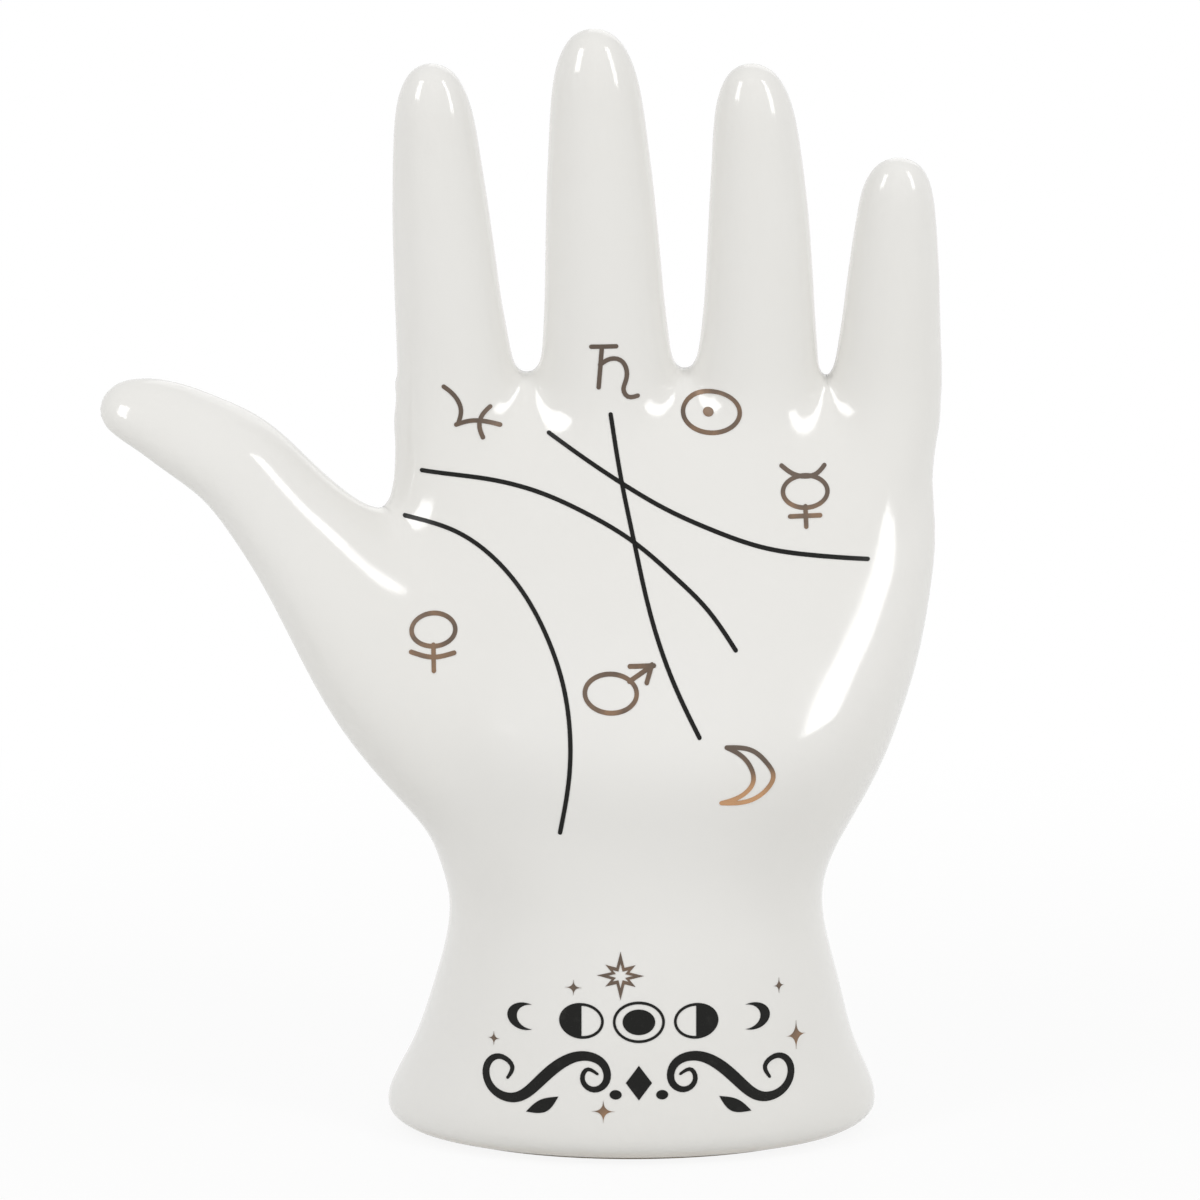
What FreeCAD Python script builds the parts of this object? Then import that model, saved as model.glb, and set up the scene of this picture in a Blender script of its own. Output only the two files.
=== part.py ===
"""Ceramic palmistry hand: a hollow slip-cast earthenware hand that stands on a flared cuff.

One casting carries everything: the fired clay body, the clear glass glaze on it, and the printed
transfers fired on top of the glaze (four palm lines, seven planet signs, stars and a cuff ornament).
Frame: millimetres, +Z up, the palm faces -Y, the thumb points to -X, origin at the centre of the foot.
"""
import FreeCAD, Part
import math
import os

os.makedirs("parts", exist_ok=True)
doc = FreeCAD.newDocument("palmistry_hand")
Vector = FreeCAD.Vector

# Driving sizes in millimetres, each with what it measures
SIZES = {
    "web_height": (153.0, "table to the webs between the fingers"),
    "foot_width": (100.8, "widest part of the cuff, side to side"),
    "foot_depth": (72.0, "widest part of the cuff, front to back"),
    "wrist_width": (76.6, "narrowest part of the wrist, side to side"),
    "wrist_depth": (56.4, "narrowest part of the wrist, front to back"),
    "palm_width": (109.2, "palm at the knuckles, side to side"),
    "palm_depth": (32.0, "palm at the knuckles, front to back"),
    "finger_root": (34.0, "how far each finger runs down inside the palm"),
    "index_length": (65.2, "index finger above the webs"),
    "index_width": (23.0, "index finger at the webs"),
    "middle_length": (72.2, "middle finger above the webs"),
    "middle_width": (25.6, "middle finger at the webs"),
    "ring_length": (65.2, "ring finger above the webs"),
    "ring_width": (23.6, "ring finger at the webs"),
    "little_length": (46.2, "little finger above the webs"),
    "little_width": (21.2, "little finger at the webs"),
    "thumb_reach": (84.0, "thumb root to thumb tip, sideways"),
    "thumb_rise": (83.0, "thumb root to thumb tip, upwards"),
    "thumb_width": (38.0, "ball of the thumb, across"),
    "thumb_root": (66.0, "height of the thumb's root inside the wrist"),
    "wall": (4.0, "thickness of the cast clay"),
    "glaze_thickness": (0.5, "thickness of the glass glaze"),
    "glaze_line": (1.4, "height to which the glaze is wiped off the foot"),
    "foot_ring": (7.0, "width of the bare ring the hand stands on"),
    "foot_recess": (3.0, "depth of the hollow under the foot"),
    "vent_radius": (7.0, "radius of the pour and vent hole"),
    "print_thickness": (0.12, "thickness of the fired transfers"),
    "palm_line": (1.05, "width of the printed palm lines"),
    "sign_height": (12.0, "height of a planet sign"),
    "sign_line": (0.95, "width of the strokes of the signs"),
    "star_height": (9.4, "height of the eight-pointed star"),
    "sparkle_height": (4.6, "height of a middling sparkle"),
    "moon_height": (7.6, "height of the full moon on the cuff"),
    "scroll_length": (31.0, "length of each scroll from the middle of the cuff"),
    "scroll_line": (2.2, "broadest stroke of a scroll"),
    "hairline": (0.55, "thinnest stroke of the cuff ornament"),
    "finger_crease": (2.0, "rounding between fingers and palm"),
    "thumb_crease": (5.0, "rounding between thumb and palm"),
}

# Cuff, wrist and palm: zone whose width and depth are meant, then the height as a share of web_height, the
# sideways shift and the width as shares of the zone's width, and the backward lean and the depth of its depth
TRUNK_SHARES = (
    ("foot", 0.000, -0.004, 0.870, 0.0, 0.845),
    ("foot", 0.013, -0.003, 0.958, 0.0, 0.950),
    ("foot", 0.038, -0.001, 1.000, 0.0, 1.000),
    ("foot", 0.066, 0.001, 0.976, 0.0, 0.989),
    ("foot", 0.112, 0.004, 0.910, 0.0, 0.955),
    ("foot", 0.190, 0.009, 0.835, 0.0, 0.893),
    ("wrist", 0.250, 0.013, 1.034, 0.0, 1.070),
    ("wrist", 0.309, 0.011, 1.000, 0.0, 1.000),
    ("wrist", 0.368, 0.015, 1.038, 0.0, 0.970),
    ("wrist", 0.433, 0.043, 1.116, 0.0, 0.985),
    ("palm", 0.525, 0.050, 0.868, 0.00, 1.760),
    ("palm", 0.608, 0.058, 0.932, 0.05, 1.500),
    ("palm", 0.660, 0.062, 0.962, 0.10, 1.300),
    ("palm", 0.725, 0.0645, 0.990, 0.17, 1.110),
    ("palm", 0.775, 0.066, 1.004, 0.23, 1.000),
    ("palm", 0.880, 0.068, 1.012, 0.34, 0.780),
    ("palm", 0.945, 0.068, 1.006, 0.39, 0.640),
    ("palm", 0.982, 0.068, 0.980, 0.41, 0.470),
    ("palm", 1.000, 0.068, 0.940, 0.42, 0.210),
)

# Fingers: where the middle of the finger crosses the webs, how far its tip leans, how far it bows sideways
# half way up and how far its buried root leans, all as shares of palm_width
FINGER_SHARES = {
    "index": (-0.331, -0.042, -0.004, 0.010),
    "middle": (-0.047, -0.026, 0.001, 0.010),
    "ring": (0.234, -0.015, 0.009, -0.020),
    "little": (0.481, 0.012, 0.001, -0.095),
}

# One finger's profile from its buried root to its tip: height above the webs as a share of its length
# (below them, of finger_root), width as a share of its width, and depth as a share of that same width
FINGER_PROFILE_SHARES = (
    (-1.00, 0.700, 0.480),
    (-0.50, 0.940, 0.740),
    (0.00, 1.040, 0.870),
    (0.22, 0.965, 0.795),
    (0.45, 0.890, 0.735),
    (0.62, 0.820, 0.690),
    (0.75, 0.752, 0.645),
    (0.86, 0.665, 0.585),
    (0.94, 0.505, 0.460),
    (0.98, 0.325, 0.305),
)

# How far back the middle of a finger lies at the webs, and how much less at its tip and at its buried root,
# as shares of palm_depth
FINGER_BACK_SHARE = 0.42
FINGER_TIP_FORWARD_SHARE = 0.20
FINGER_ROOT_FORWARD_SHARE = 0.18

# Thumb: how far its root lies from the middle of the foot as a share of foot_width, then from root to tip how
# far along thumb_reach and up thumb_rise each section lies, and how wide it looks from the palm side, as a
# share of thumb_width. Each section is an ellipse, this flat, and rolled so that its upper edge is set back
THUMB_ROOT_SHARE = 0.238
THUMB_SHARES = (
    (0.000, 0.000, 0.600),
    (0.119, 0.168, 0.880),
    (0.250, 0.337, 0.915),
    (0.363, 0.488, 0.815),
    (0.474, 0.633, 0.665),
    (0.577, 0.761, 0.562),
    (0.680, 0.871, 0.510),
    (0.793, 0.939, 0.447),
    (0.890, 0.984, 0.368),
    (0.948, 0.996, 0.289),
    (0.985, 0.999, 0.168),
)
THUMB_FLATNESS_SHARE = 0.66
THUMB_ROLL_DEGREES = 38.0

# Printed palm lines: places on the palm as shares of palm_width and web_height
PALM_LINE_SHARES = {
    "heart_line": (
        (-0.156, 0.938), (-0.020, 0.875), (0.062, 0.842), (0.146, 0.816),
        (0.248, 0.792), (0.336, 0.782), (0.437, 0.775),
    ),
    "head_line": (
        (-0.393, 0.888), (-0.297, 0.881), (-0.173, 0.862), (-0.085, 0.836),
        (0.003, 0.800), (0.079, 0.756), (0.134, 0.719), (0.189, 0.666),
    ),
    "fate_line": (
        (-0.041, 0.964), (-0.020, 0.875), (0.003, 0.799), (0.031, 0.714), (0.072, 0.631), (0.121, 0.561),
    ),
    "life_line": (
        (-0.425, 0.828), (-0.338, 0.813), (-0.262, 0.780), (-0.201, 0.733), (-0.153, 0.672),
        (-0.129, 0.624), (-0.118, 0.582), (-0.116, 0.519), (-0.134, 0.434),
    ),
}

# Planet signs: the middle of each on the palm as shares of palm_width and web_height, then its rings (middle
# and half sizes), dots (middle and half sizes) and strokes, all as shares of sign_height
SIGN_SHARES = {
    "jupiter_sign": ((-0.299, 0.966), (), (), (
        ((-0.48, 0.43), (-0.35, 0.33), (-0.24, 0.19), (-0.19, 0.04), (-0.24, -0.20)),
        ((-0.27, -0.21), (-0.05, -0.15), (0.20, -0.16), (0.47, -0.23)),
        ((0.30, 0.08), (0.16, -0.07), (0.12, -0.23), (0.18, -0.43)),
    )),
    "saturn_sign": ((-0.033, 1.020), (), (), (
        ((-0.40, 0.43), (0.02, 0.44)),
        ((-0.22, 0.43), (-0.275, -0.26)),
        ((-0.25, 0.125), (-0.08, 0.225), (0.08, 0.21), (0.19, 0.06),
         (0.18, -0.16), (0.145, -0.31), (0.22, -0.42), (0.38, -0.41)),
    )),
    "sun_sign": ((0.147, 0.965), (((0.0, 0.0), (0.48, 0.34)),), (((-0.05, 0.0), (0.09, 0.08)),), ()),
    "mercury_sign": ((0.321, 0.863), (((0.0, 0.0), (0.38, 0.262)),), (), (
        ((-0.40, 0.43), (-0.22, 0.30), (0.0, 0.245), (0.20, 0.29), (0.33, 0.42)),
        ((0.0, -0.24), (0.012, -0.57)),
        ((-0.26, -0.40), (0.25, -0.39)),
    )),
    "venus_sign": ((-0.369, 0.687), (((0.0, 0.0), (0.367, 0.262)),), (), (
        ((0.0, -0.24), (0.012, -0.655)),
        ((-0.37, -0.34), (0.0, -0.435), (0.35, -0.37)),
    )),
    "mars_sign": ((-0.041, 0.614), (((0.0, 0.0), (0.433, 0.30)),), (), (
        ((0.31, 0.19), (0.67, 0.42)),
        ((0.32, 0.42), (0.72, 0.435)),
        ((0.69, 0.45), (0.60, 0.17)),
    )),
    "moon_sign": ((0.192, 0.512), (), (), (
        ((-0.19, 0.46), (0.02, 0.345), (0.22, 0.10), (0.25, -0.12), (0.07, -0.34), (-0.275, -0.46)),
        ((-0.19, 0.46), (0.23, 0.40), (0.49, 0.17), (0.59, -0.04), (0.49, -0.25), (0.19, -0.44), (-0.275, -0.46)),
    )),
}

# Eight-pointed star on the wrist: its middle as shares of wrist_width and web_height, then one quarter of its
# outline (long point, notch, short point, notch) and the size of its open heart, as shares of star_height
STAR_PLACE_SHARES = (-0.033, 0.249)
STAR_QUARTER_SHARES = ((0.50, 0.0), (0.19, 0.075), (0.32, 0.225), (0.085, 0.17))
STAR_HEART_SHARE = 0.52

# Four-pointed sparkles: middle as shares of wrist_width and web_height, width and height of sparkle_height
SPARKLE_SHARES = (
    (-0.156, 0.232, 0.74, 0.65),
    (0.385, 0.224, 0.48, 0.65),
    (-0.366, 0.157, 0.52, 0.57),
    (0.431, 0.157, 0.87, 1.22),
    (-0.078, 0.075, 1.00, 0.96),
)
SPARKLE_WAIST_SHARE = 0.09

# Ornament on the cuff: a row of moon phases over a pair of scrolls with a lozenge, two leaves and two beads
ORNAMENT_MIDDLE_SHARE = 0.015
MOON_ROW_SHARE = 0.190
MOON_STEP_SHARE = 0.150
MOON_STRETCH_SHARE = 1.30
MOON_SIDE_SHARES = (0.70, 0.85, 1.00, 0.85, 0.70)
CRESCENT_SHIFT_SHARE = 0.45
CRESCENT_BITE_SHARE = 0.90
FULL_MOON_SHARE = 0.66
SCROLL_ROW_SHARE = 0.112
SCROLL_SHARES = (
    (0.27, 0.055, 0.0), (0.335, 0.080, 0.15), (0.365, 0.020, 0.25), (0.30, -0.045, 0.35), (0.215, 0.0, 0.50),
    (0.225, 0.110, 0.65), (0.35, 0.165, 0.80), (0.51, 0.105, 1.0), (0.66, -0.030, 1.0), (0.81, -0.130, 0.80),
    (0.96, -0.080, 0.60), (0.985, 0.050, 0.45), (0.90, 0.115, 0.30), (0.82, 0.060, 0.20), (0.85, -0.010, 0.0),
)
LEAF_SHARES = ((0.52, -0.10), (0.60, -0.20), (0.73, -0.21), (0.64, -0.13))
LOZENGE_SHARES = (0.085, 0.110)
BEAD_SHARES = (0.150, -0.075, 0.030)

# Stations of each limb that the hollow inside reaches, counted from the root, and the stations at the top of
# the palm that sink as the form is drawn in
HOLLOW_TRUNK = 17
HOLLOW_FINGER = 7
HOLLOW_THUMB = 8
SINKING_STATIONS = 3

# How near an edge lies to a limb that it belongs to, as a share of palm_width
TOUCH_SHARE = 0.00001


def make_sheet():
    """Puts every driving size into the spreadsheet and returns the sheet."""
    sheet = doc.addObject("Spreadsheet::Sheet", "Sizes")
    for row, (alias, (value, meaning)) in enumerate(SIZES.items(), start=1):
        sheet.set(f"A{row}", meaning)
        sheet.set(f"B{row}", str(value))
        sheet.setAlias(f"B{row}", alias)
    doc.recompute()
    return sheet


def size(name):
    """Reads one driving size from the spreadsheet."""
    return float(getattr(doc.Sizes, name))


def section(name, across, back, height, width, depth, tilt=0.0, roll=0.0):
    """A limb's elliptical cross-section, tilted sideways and then rolled about the limb; every length is an
    expression on the sheet."""
    ellipse = doc.addObject("Part::Ellipse", name)
    turn = FreeCAD.Rotation(Vector(0, 1, 0), tilt) * FreeCAD.Rotation(Vector(0, 0, 1), roll)
    ellipse.Placement = FreeCAD.Placement(Vector(), turn)
    ellipse.setExpression("MajorRadius", f"({width}) / 2")
    ellipse.setExpression("MinorRadius", f"({depth}) / 2")
    ellipse.setExpression("Placement.Base.x", across)
    ellipse.setExpression("Placement.Base.y", back)
    ellipse.setExpression("Placement.Base.z", height)
    return ellipse


def tip(name, across, back, height):
    """The point that closes a limb."""
    point = doc.addObject("Part::Vertex", name)
    point.setExpression("Placement.Base.x", across)
    point.setExpression("Placement.Base.y", back)
    point.setExpression("Placement.Base.z", height)
    return point


def loft(name, sections):
    """A smooth solid through the sections."""
    limb = doc.addObject("Part::Loft", name)
    limb.Sections = sections
    limb.Solid = True
    limb.Ruled = False
    return limb


def trunk(prefix, inset, count):
    """Cuff, wrist and palm in one loft, drawn in by inset on every side."""
    sections = []
    for number, (zone, up, shift, wide, lean, deep) in enumerate(TRUNK_SHARES[:count]):
        width, depth = f"Sizes.{zone}_width", f"Sizes.{zone}_depth"
        sink = inset if number >= len(TRUNK_SHARES) - SINKING_STATIONS else "0"
        sections.append(section(
            f"{prefix}_trunk_{number}",
            f"{width} * {shift}",
            f"{depth} * {lean}",
            f"Sizes.web_height * {up} - ({sink})",
            f"{width} * {wide} - 2 * ({inset})",
            f"{depth} * {deep} - 2 * ({inset})",
        ))
    return loft(f"{prefix}_trunk", sections)


def finger_middle(finger_name, up):
    """Expressions for how far across and how far back the middle of a finger lies, up being its height above
    the webs as a share of its length or, below them, of finger_root."""
    root, lean, bow, sway = FINGER_SHARES[finger_name]
    above, below = max(up, 0.0), max(-up, 0.0)
    across = root + lean * above + bow * 4 * above * (1 - above) + sway * below * below
    back = FINGER_BACK_SHARE - FINGER_TIP_FORWARD_SHARE * above - FINGER_ROOT_FORWARD_SHARE * below * below
    return f"Sizes.palm_width * {across}", f"Sizes.palm_depth * {back}"


def finger(prefix, finger_name, inset, count):
    """One finger from its root inside the palm to its rounded tip, drawn in by inset."""
    length, width = f"Sizes.{finger_name}_length", f"Sizes.{finger_name}_width"
    sections = []
    for number, (up, wide, deep) in enumerate(FINGER_PROFILE_SHARES[:count]):
        reach = length if up > 0 else "Sizes.finger_root"
        sections.append(section(
            f"{prefix}_{finger_name}_{number}",
            *finger_middle(finger_name, up),
            f"Sizes.web_height + {reach} * {up}",
            f"{width} * {wide} - 2 * ({inset})",
            f"{width} * {deep} - 2 * ({inset})",
        ))
    full = count == len(FINGER_PROFILE_SHARES)
    end = 1.0 if full else FINGER_PROFILE_SHARES[count][0]
    sink = inset if full else "0"
    sections.append(tip(
        f"{prefix}_{finger_name}_tip",
        *finger_middle(finger_name, end),
        f"Sizes.web_height + {length} * {end} - ({sink})",
    ))
    return loft(f"{prefix}_{finger_name}", sections)


def thumb(prefix, inset, count):
    """The thumb along its curved middle line, each section square to that line, drawn in by inset."""
    reach, rise = size("thumb_reach"), size("thumb_rise")
    line = [(-along * reach, up * rise) for along, up, _ in THUMB_SHARES] + [(-reach, rise)]
    root = f"-Sizes.foot_width * {THUMB_ROOT_SHARE}"
    roll = math.radians(THUMB_ROLL_DEGREES)
    seen_share = math.hypot(math.cos(roll), THUMB_FLATNESS_SHARE * math.sin(roll))
    sections = []
    for number, (along, up, seen) in enumerate(THUMB_SHARES[:count]):
        before, after = line[max(number - 1, 0)], line[number + 1]
        tilt = math.degrees(math.atan2(after[0] - before[0], after[1] - before[1]))
        wide = seen / seen_share
        sections.append(section(
            f"{prefix}_thumb_{number}",
            f"{root} - Sizes.thumb_reach * {along}",
            "0",
            f"Sizes.thumb_root + Sizes.thumb_rise * {up}",
            f"Sizes.thumb_width * {wide} - 2 * ({inset})",
            f"Sizes.thumb_width * {wide * THUMB_FLATNESS_SHARE} - 2 * ({inset})",
            tilt,
            THUMB_ROLL_DEGREES,
        ))
    full = count == len(THUMB_SHARES)
    along, up = (1.0, 1.0) if full else THUMB_SHARES[count][:2]
    sink = inset if full else "0"
    sections.append(tip(
        f"{prefix}_thumb_tip",
        f"{root} - Sizes.thumb_reach * {along} + ({sink})",
        "0",
        f"Sizes.thumb_root + Sizes.thumb_rise * {up}",
    ))
    return loft(f"{prefix}_thumb", sections)


def on_surface(edge, shape):
    """True if the middle of the edge lies on the shape's skin."""
    middle = Part.Vertex(edge.valueAt(sum(edge.ParameterRange) / 2))
    return min(face.distToShape(middle)[0] for face in shape.Faces) < size("palm_width") * TOUCH_SHARE


def soften(name, form, limbs):
    """Rounds the creases in which fingers and thumb meet the trunk, as slip and glaze do."""
    doc.recompute()
    trunk_shape, others = limbs[0].Shape, limbs[1:]
    rounds = []
    for number, edge in enumerate(form.Shape.Edges, start=1):
        for limb in others:
            if on_surface(edge, limb.Shape) and on_surface(edge, trunk_shape):
                radius = size("thumb_crease" if limb.Name.endswith("thumb") else "finger_crease")
                rounds.append((number, radius, radius))
                break
    soft = doc.addObject("Part::Fillet", name)
    soft.Base = form
    soft.Edges = rounds
    return soft


def whole_hand(prefix, inset, hollow=False):
    """Trunk, four fingers and thumb joined into one form, with soft creases outside."""
    limbs = [trunk(prefix, inset, HOLLOW_TRUNK if hollow else len(TRUNK_SHARES))]
    for finger_name in FINGER_SHARES:
        stations = HOLLOW_FINGER if hollow else len(FINGER_PROFILE_SHARES)
        limbs.append(finger(prefix, finger_name, inset, stations))
    limbs.append(thumb(prefix, inset, HOLLOW_THUMB if hollow else len(THUMB_SHARES)))
    form = doc.addObject("Part::MultiFuse", f"{prefix}_form")
    form.Shapes = limbs
    return form if hollow else soften(f"{prefix}_soft_form", form, limbs)


def slab(name, bottom, top):
    """A plate wider than the foot between two heights, for trimming."""
    plate = doc.addObject("Part::Box", name)
    plate.setExpression("Length", "Sizes.foot_width * 2")
    plate.setExpression("Width", "Sizes.foot_depth * 2")
    plate.setExpression("Height", f"({top}) - ({bottom})")
    plate.setExpression("Placement.Base.x", "-Sizes.foot_width")
    plate.setExpression("Placement.Base.y", "-Sizes.foot_depth")
    plate.setExpression("Placement.Base.z", bottom)
    return plate


def cut(name, base, tool):
    """Base with the tool taken away."""
    result = doc.addObject("Part::Cut", name)
    result.Base = base
    result.Tool = tool
    return result


def ceramic_body(form):
    """Fired clay: the hollow casting with its foot ring, recessed underside and vent hole."""
    hollow = whole_hand("hollow", "Sizes.glaze_thickness + Sizes.wall", hollow=True)
    floor = slab("floor_slab", "-Sizes.wall", "Sizes.foot_recess + Sizes.wall")
    cavity = cut("cavity", hollow, floor)
    _, _, shift, wide, _, deep = TRUNK_SHARES[0]
    rim = section(
        "recess_rim",
        f"Sizes.foot_width * {shift}",
        "0",
        "0",
        f"Sizes.foot_width * {wide} - 2 * Sizes.foot_ring",
        f"Sizes.foot_depth * {deep} - 2 * Sizes.foot_ring",
    )
    recess = doc.addObject("Part::Extrusion", "recess")
    recess.Base = rim
    recess.DirMode = "Custom"
    recess.Dir = Vector(0, 0, 1)
    recess.setExpression("LengthFwd", "Sizes.foot_recess")
    recess.Solid = True
    vent = doc.addObject("Part::Cylinder", "vent")
    vent.setExpression("Radius", "Sizes.vent_radius")
    vent.setExpression("Height", "Sizes.foot_recess + 2 * Sizes.wall")
    inside = doc.addObject("Part::MultiFuse", "inside")
    inside.Shapes = [cavity, recess, vent]
    return cut("ceramic_body", form, inside)


def glaze_coat(outer, form):
    """The glass skin over the clay, wiped off above the foot ring."""
    skin = cut("glaze_skin", outer, form)
    wiped = slab("wiped_slab", "-Sizes.wall", "Sizes.glaze_line")
    return cut("glaze_coat", skin, wiped)


def flat(across, height):
    """A point of the flat artwork, before it is laid on the hand."""
    return Vector(across, 0, height)


def polygon(points):
    """A flat face with straight sides through the points."""
    return Part.Face(Part.makePolygon(points + points[:1]))


def disc(middle, half_width, half_height):
    """A flat ellipse, upright in the plane of the artwork."""
    if half_width >= half_height:
        ellipse = Part.Ellipse(middle + flat(half_width, 0), middle + flat(0, half_height), middle)
    else:
        ellipse = Part.Ellipse(middle + flat(0, half_height), middle + flat(half_width, 0), middle)
    return Part.Face(Part.Wire([ellipse.toShape()]))


def ring(middle, half_width, half_height, line):
    """A flat elliptical ring whose stroke is centred on the given half sizes."""
    outside = disc(middle, half_width + line / 2, half_height + line / 2)
    return outside.cut(disc(middle, half_width - line / 2, half_height - line / 2)).Faces[0]


def stroke(points, widths):
    """A flat brush stroke: a smooth line through the points, as wide at each as widths says."""
    spine = Part.BSplineCurve()
    spine.interpolate(Points=points)
    knots = [spine.parameter(point) for point in points]
    left, right = [], []
    for start in range(len(points) - 1):
        for step in (0.0, 1 / 3, 2 / 3):
            left_spot, right_spot = stroke_sides(spine, knots, widths, start, step)
            left.append(left_spot)
            right.append(right_spot)
    left_spot, right_spot = stroke_sides(spine, knots, widths, len(points) - 2, 1.0)
    left.append(left_spot)
    right.append(right_spot)
    sides = []
    for spots in (left, right):
        side = Part.BSplineCurve()
        side.interpolate(Points=spots)
        sides.append(side.toShape())
    ends = [Part.makeLine(left[0], right[0]), Part.makeLine(left[-1], right[-1])]
    return Part.Face(Part.Wire(Part.__sortEdges__(sides + ends)))


def stroke_sides(spine, knots, widths, start, step):
    """The two edge points of a stroke, a given step of the way from one point to the next."""
    place = knots[start] + (knots[start + 1] - knots[start]) * step
    width = widths[start] + (widths[start + 1] - widths[start]) * step
    spot, along = spine.value(place), spine.tangent(place)[0]
    across = flat(-along.z, along.x).normalize() * (width / 2)
    return spot + across, spot - across


def joined(faces):
    """Overlapping flat faces as one, all turned to look out of the palm."""
    facing = [face if face.normalAt(0, 0).y < 0 else face.reversed() for face in faces]
    if len(facing) == 1:
        return facing[0]
    return Part.Shell(facing[0].multiFuse(facing[1:]).Faces).removeSplitter()


def trunk_middle(height):
    """How far back the middle of the trunk lies at a height, read between the rows of its table."""
    high_web = size("web_height")
    rows = [(up * high_web, lean * size(f"{zone}_depth")) for zone, up, _, _, lean, _ in TRUNK_SHARES]
    for (low, near), (high, far) in zip(rows, rows[1:]):
        if height < high:
            return near + (far - near) * (height - low) / (high - low)
    return rows[-1][1]


def transfer(name, faces, skin):
    """A fired transfer: the flat artwork, set up inside the hand, is carried forward on to the glaze of the
    palm side as a thin film of even depth."""
    artwork = doc.addObject("Part::Feature", f"{name}_artwork")
    artwork.Shape = joined(faces)
    middle = trunk_middle(artwork.Shape.BoundBox.ZMax)
    artwork.Placement = FreeCAD.Placement(Vector(0, middle, 0), FreeCAD.Rotation())
    prism = doc.addObject("Part::Extrusion", f"{name}_prism")
    prism.Base = artwork
    prism.DirMode = "Custom"
    prism.Dir = Vector(0, -1, 0)
    prism.setExpression("LengthFwd", "Sizes.foot_depth")
    prism.Solid = True
    patch = doc.addObject("Part::MultiCommon", f"{name}_patch")
    patch.Shapes = [prism, skin]
    patch.Refine = False
    film = doc.addObject("Part::Extrusion", name)
    film.Base = patch
    film.DirMode = "Custom"
    film.Dir = Vector(0, -1, 0)
    film.setExpression("LengthFwd", "Sizes.print_thickness")
    return film


def palm_lines(skin):
    """Heart, head, fate and life lines in black enamel."""
    wide, high, line = size("palm_width"), size("web_height"), size("palm_line")
    nodes = []
    for name, places in PALM_LINE_SHARES.items():
        points = [flat(across * wide, up * high) for across, up in places]
        nodes.append(transfer(name, [stroke(points, [line] * len(points))], skin))
    return nodes


def planet_signs(skin):
    """The seven signs in copper lustre."""
    unit, line = size("sign_height"), size("sign_line")
    nodes = []
    for name, ((across, up), rings, dots, strokes) in SIGN_SHARES.items():
        middle = flat(across * size("palm_width"), up * size("web_height"))
        faces = []
        for (right, above), (half_width, half_height) in rings:
            spot = middle + flat(right, above) * unit
            faces.append(ring(spot, half_width * unit, half_height * unit, line))
        for (right, above), (half_width, half_height) in dots:
            faces.append(disc(middle + flat(right, above) * unit, half_width * unit, half_height * unit))
        for points in strokes:
            spots = [middle + flat(right, above) * unit for right, above in points]
            faces.append(stroke(spots, [line] * len(spots)))
        nodes.append(transfer(name, faces, skin))
    return nodes


def star_outline(middle, height):
    """The eight-pointed star's outline: one quarter turned into the other three."""
    points = []
    for sign_x, sign_z, order in ((1, 1, 1), (-1, 1, -1), (-1, -1, 1), (1, -1, -1)):
        quarter = list(STAR_QUARTER_SHARES) + [(0.0, STAR_QUARTER_SHARES[0][0])]
        for right, above in quarter[::order][:-1]:
            points.append(middle + flat(sign_x * right, sign_z * above) * height)
    return polygon(points)


def stars(skin):
    """The outlined star and the five sparkles in copper lustre."""
    wide, high = size("wrist_width"), size("web_height")
    middle = flat(STAR_PLACE_SHARES[0] * wide, STAR_PLACE_SHARES[1] * high)
    height = size("star_height")
    face = star_outline(middle, height).cut(star_outline(middle, height * STAR_HEART_SHARE)).Faces[0]
    nodes = [transfer("eight_pointed_star", [face], skin)]
    for number, (across, up, width, tall) in enumerate(SPARKLE_SHARES, start=1):
        middle = flat(across * wide, up * high)
        half = flat(width, tall) * (size("sparkle_height") / 2)
        points = []
        for right, above in ((1, 0), (0, 1), (-1, 0), (0, -1)):
            points.append(middle + flat(right * half.x, above * half.z))
            turned = flat(right - above, above + right) * SPARKLE_WAIST_SHARE * 2
            points.append(middle + flat(turned.x * half.x, turned.z * half.z))
        nodes.append(transfer(f"sparkle_{number}", [polygon(points)], skin))
    return nodes


def moon_phases(skin):
    """Five phases of the moon in a row, in black enamel."""
    wide, high = size("wrist_width"), size("web_height")
    nodes = []
    for number, share in enumerate(MOON_SIDE_SHARES):
        side = number - len(MOON_SIDE_SHARES) // 2
        middle = flat((ORNAMENT_MIDDLE_SHARE + side * MOON_STEP_SHARE) * wide, MOON_ROW_SHARE * high)
        half_height = size("moon_height") * share / 2
        half_width = half_height * MOON_STRETCH_SHARE
        toward = flat(half_width if side > 0 else -half_width, 0)
        face = disc(middle, half_width, half_height)
        outline = ring(middle, half_width, half_height, size("hairline"))
        if abs(side) == 2:
            bitten = middle - toward * CRESCENT_SHIFT_SHARE
            bite = disc(bitten, half_width * CRESCENT_BITE_SHARE, half_height * CRESCENT_BITE_SHARE)
            faces = [face.cut(bite).Faces[0]]
        elif abs(side) == 1:
            up = flat(0, half_height * 2)
            corners = [middle + up, middle + up + toward * 2, middle - up + toward * 2, middle - up]
            faces = [outline, face.common(polygon(corners)).Faces[0]]
        else:
            faces = [outline, disc(middle, half_width * FULL_MOON_SHARE, half_height * FULL_MOON_SHARE)]
        nodes.append(transfer(f"moon_phase_{number + 1}", faces, skin))
    return nodes


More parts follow.
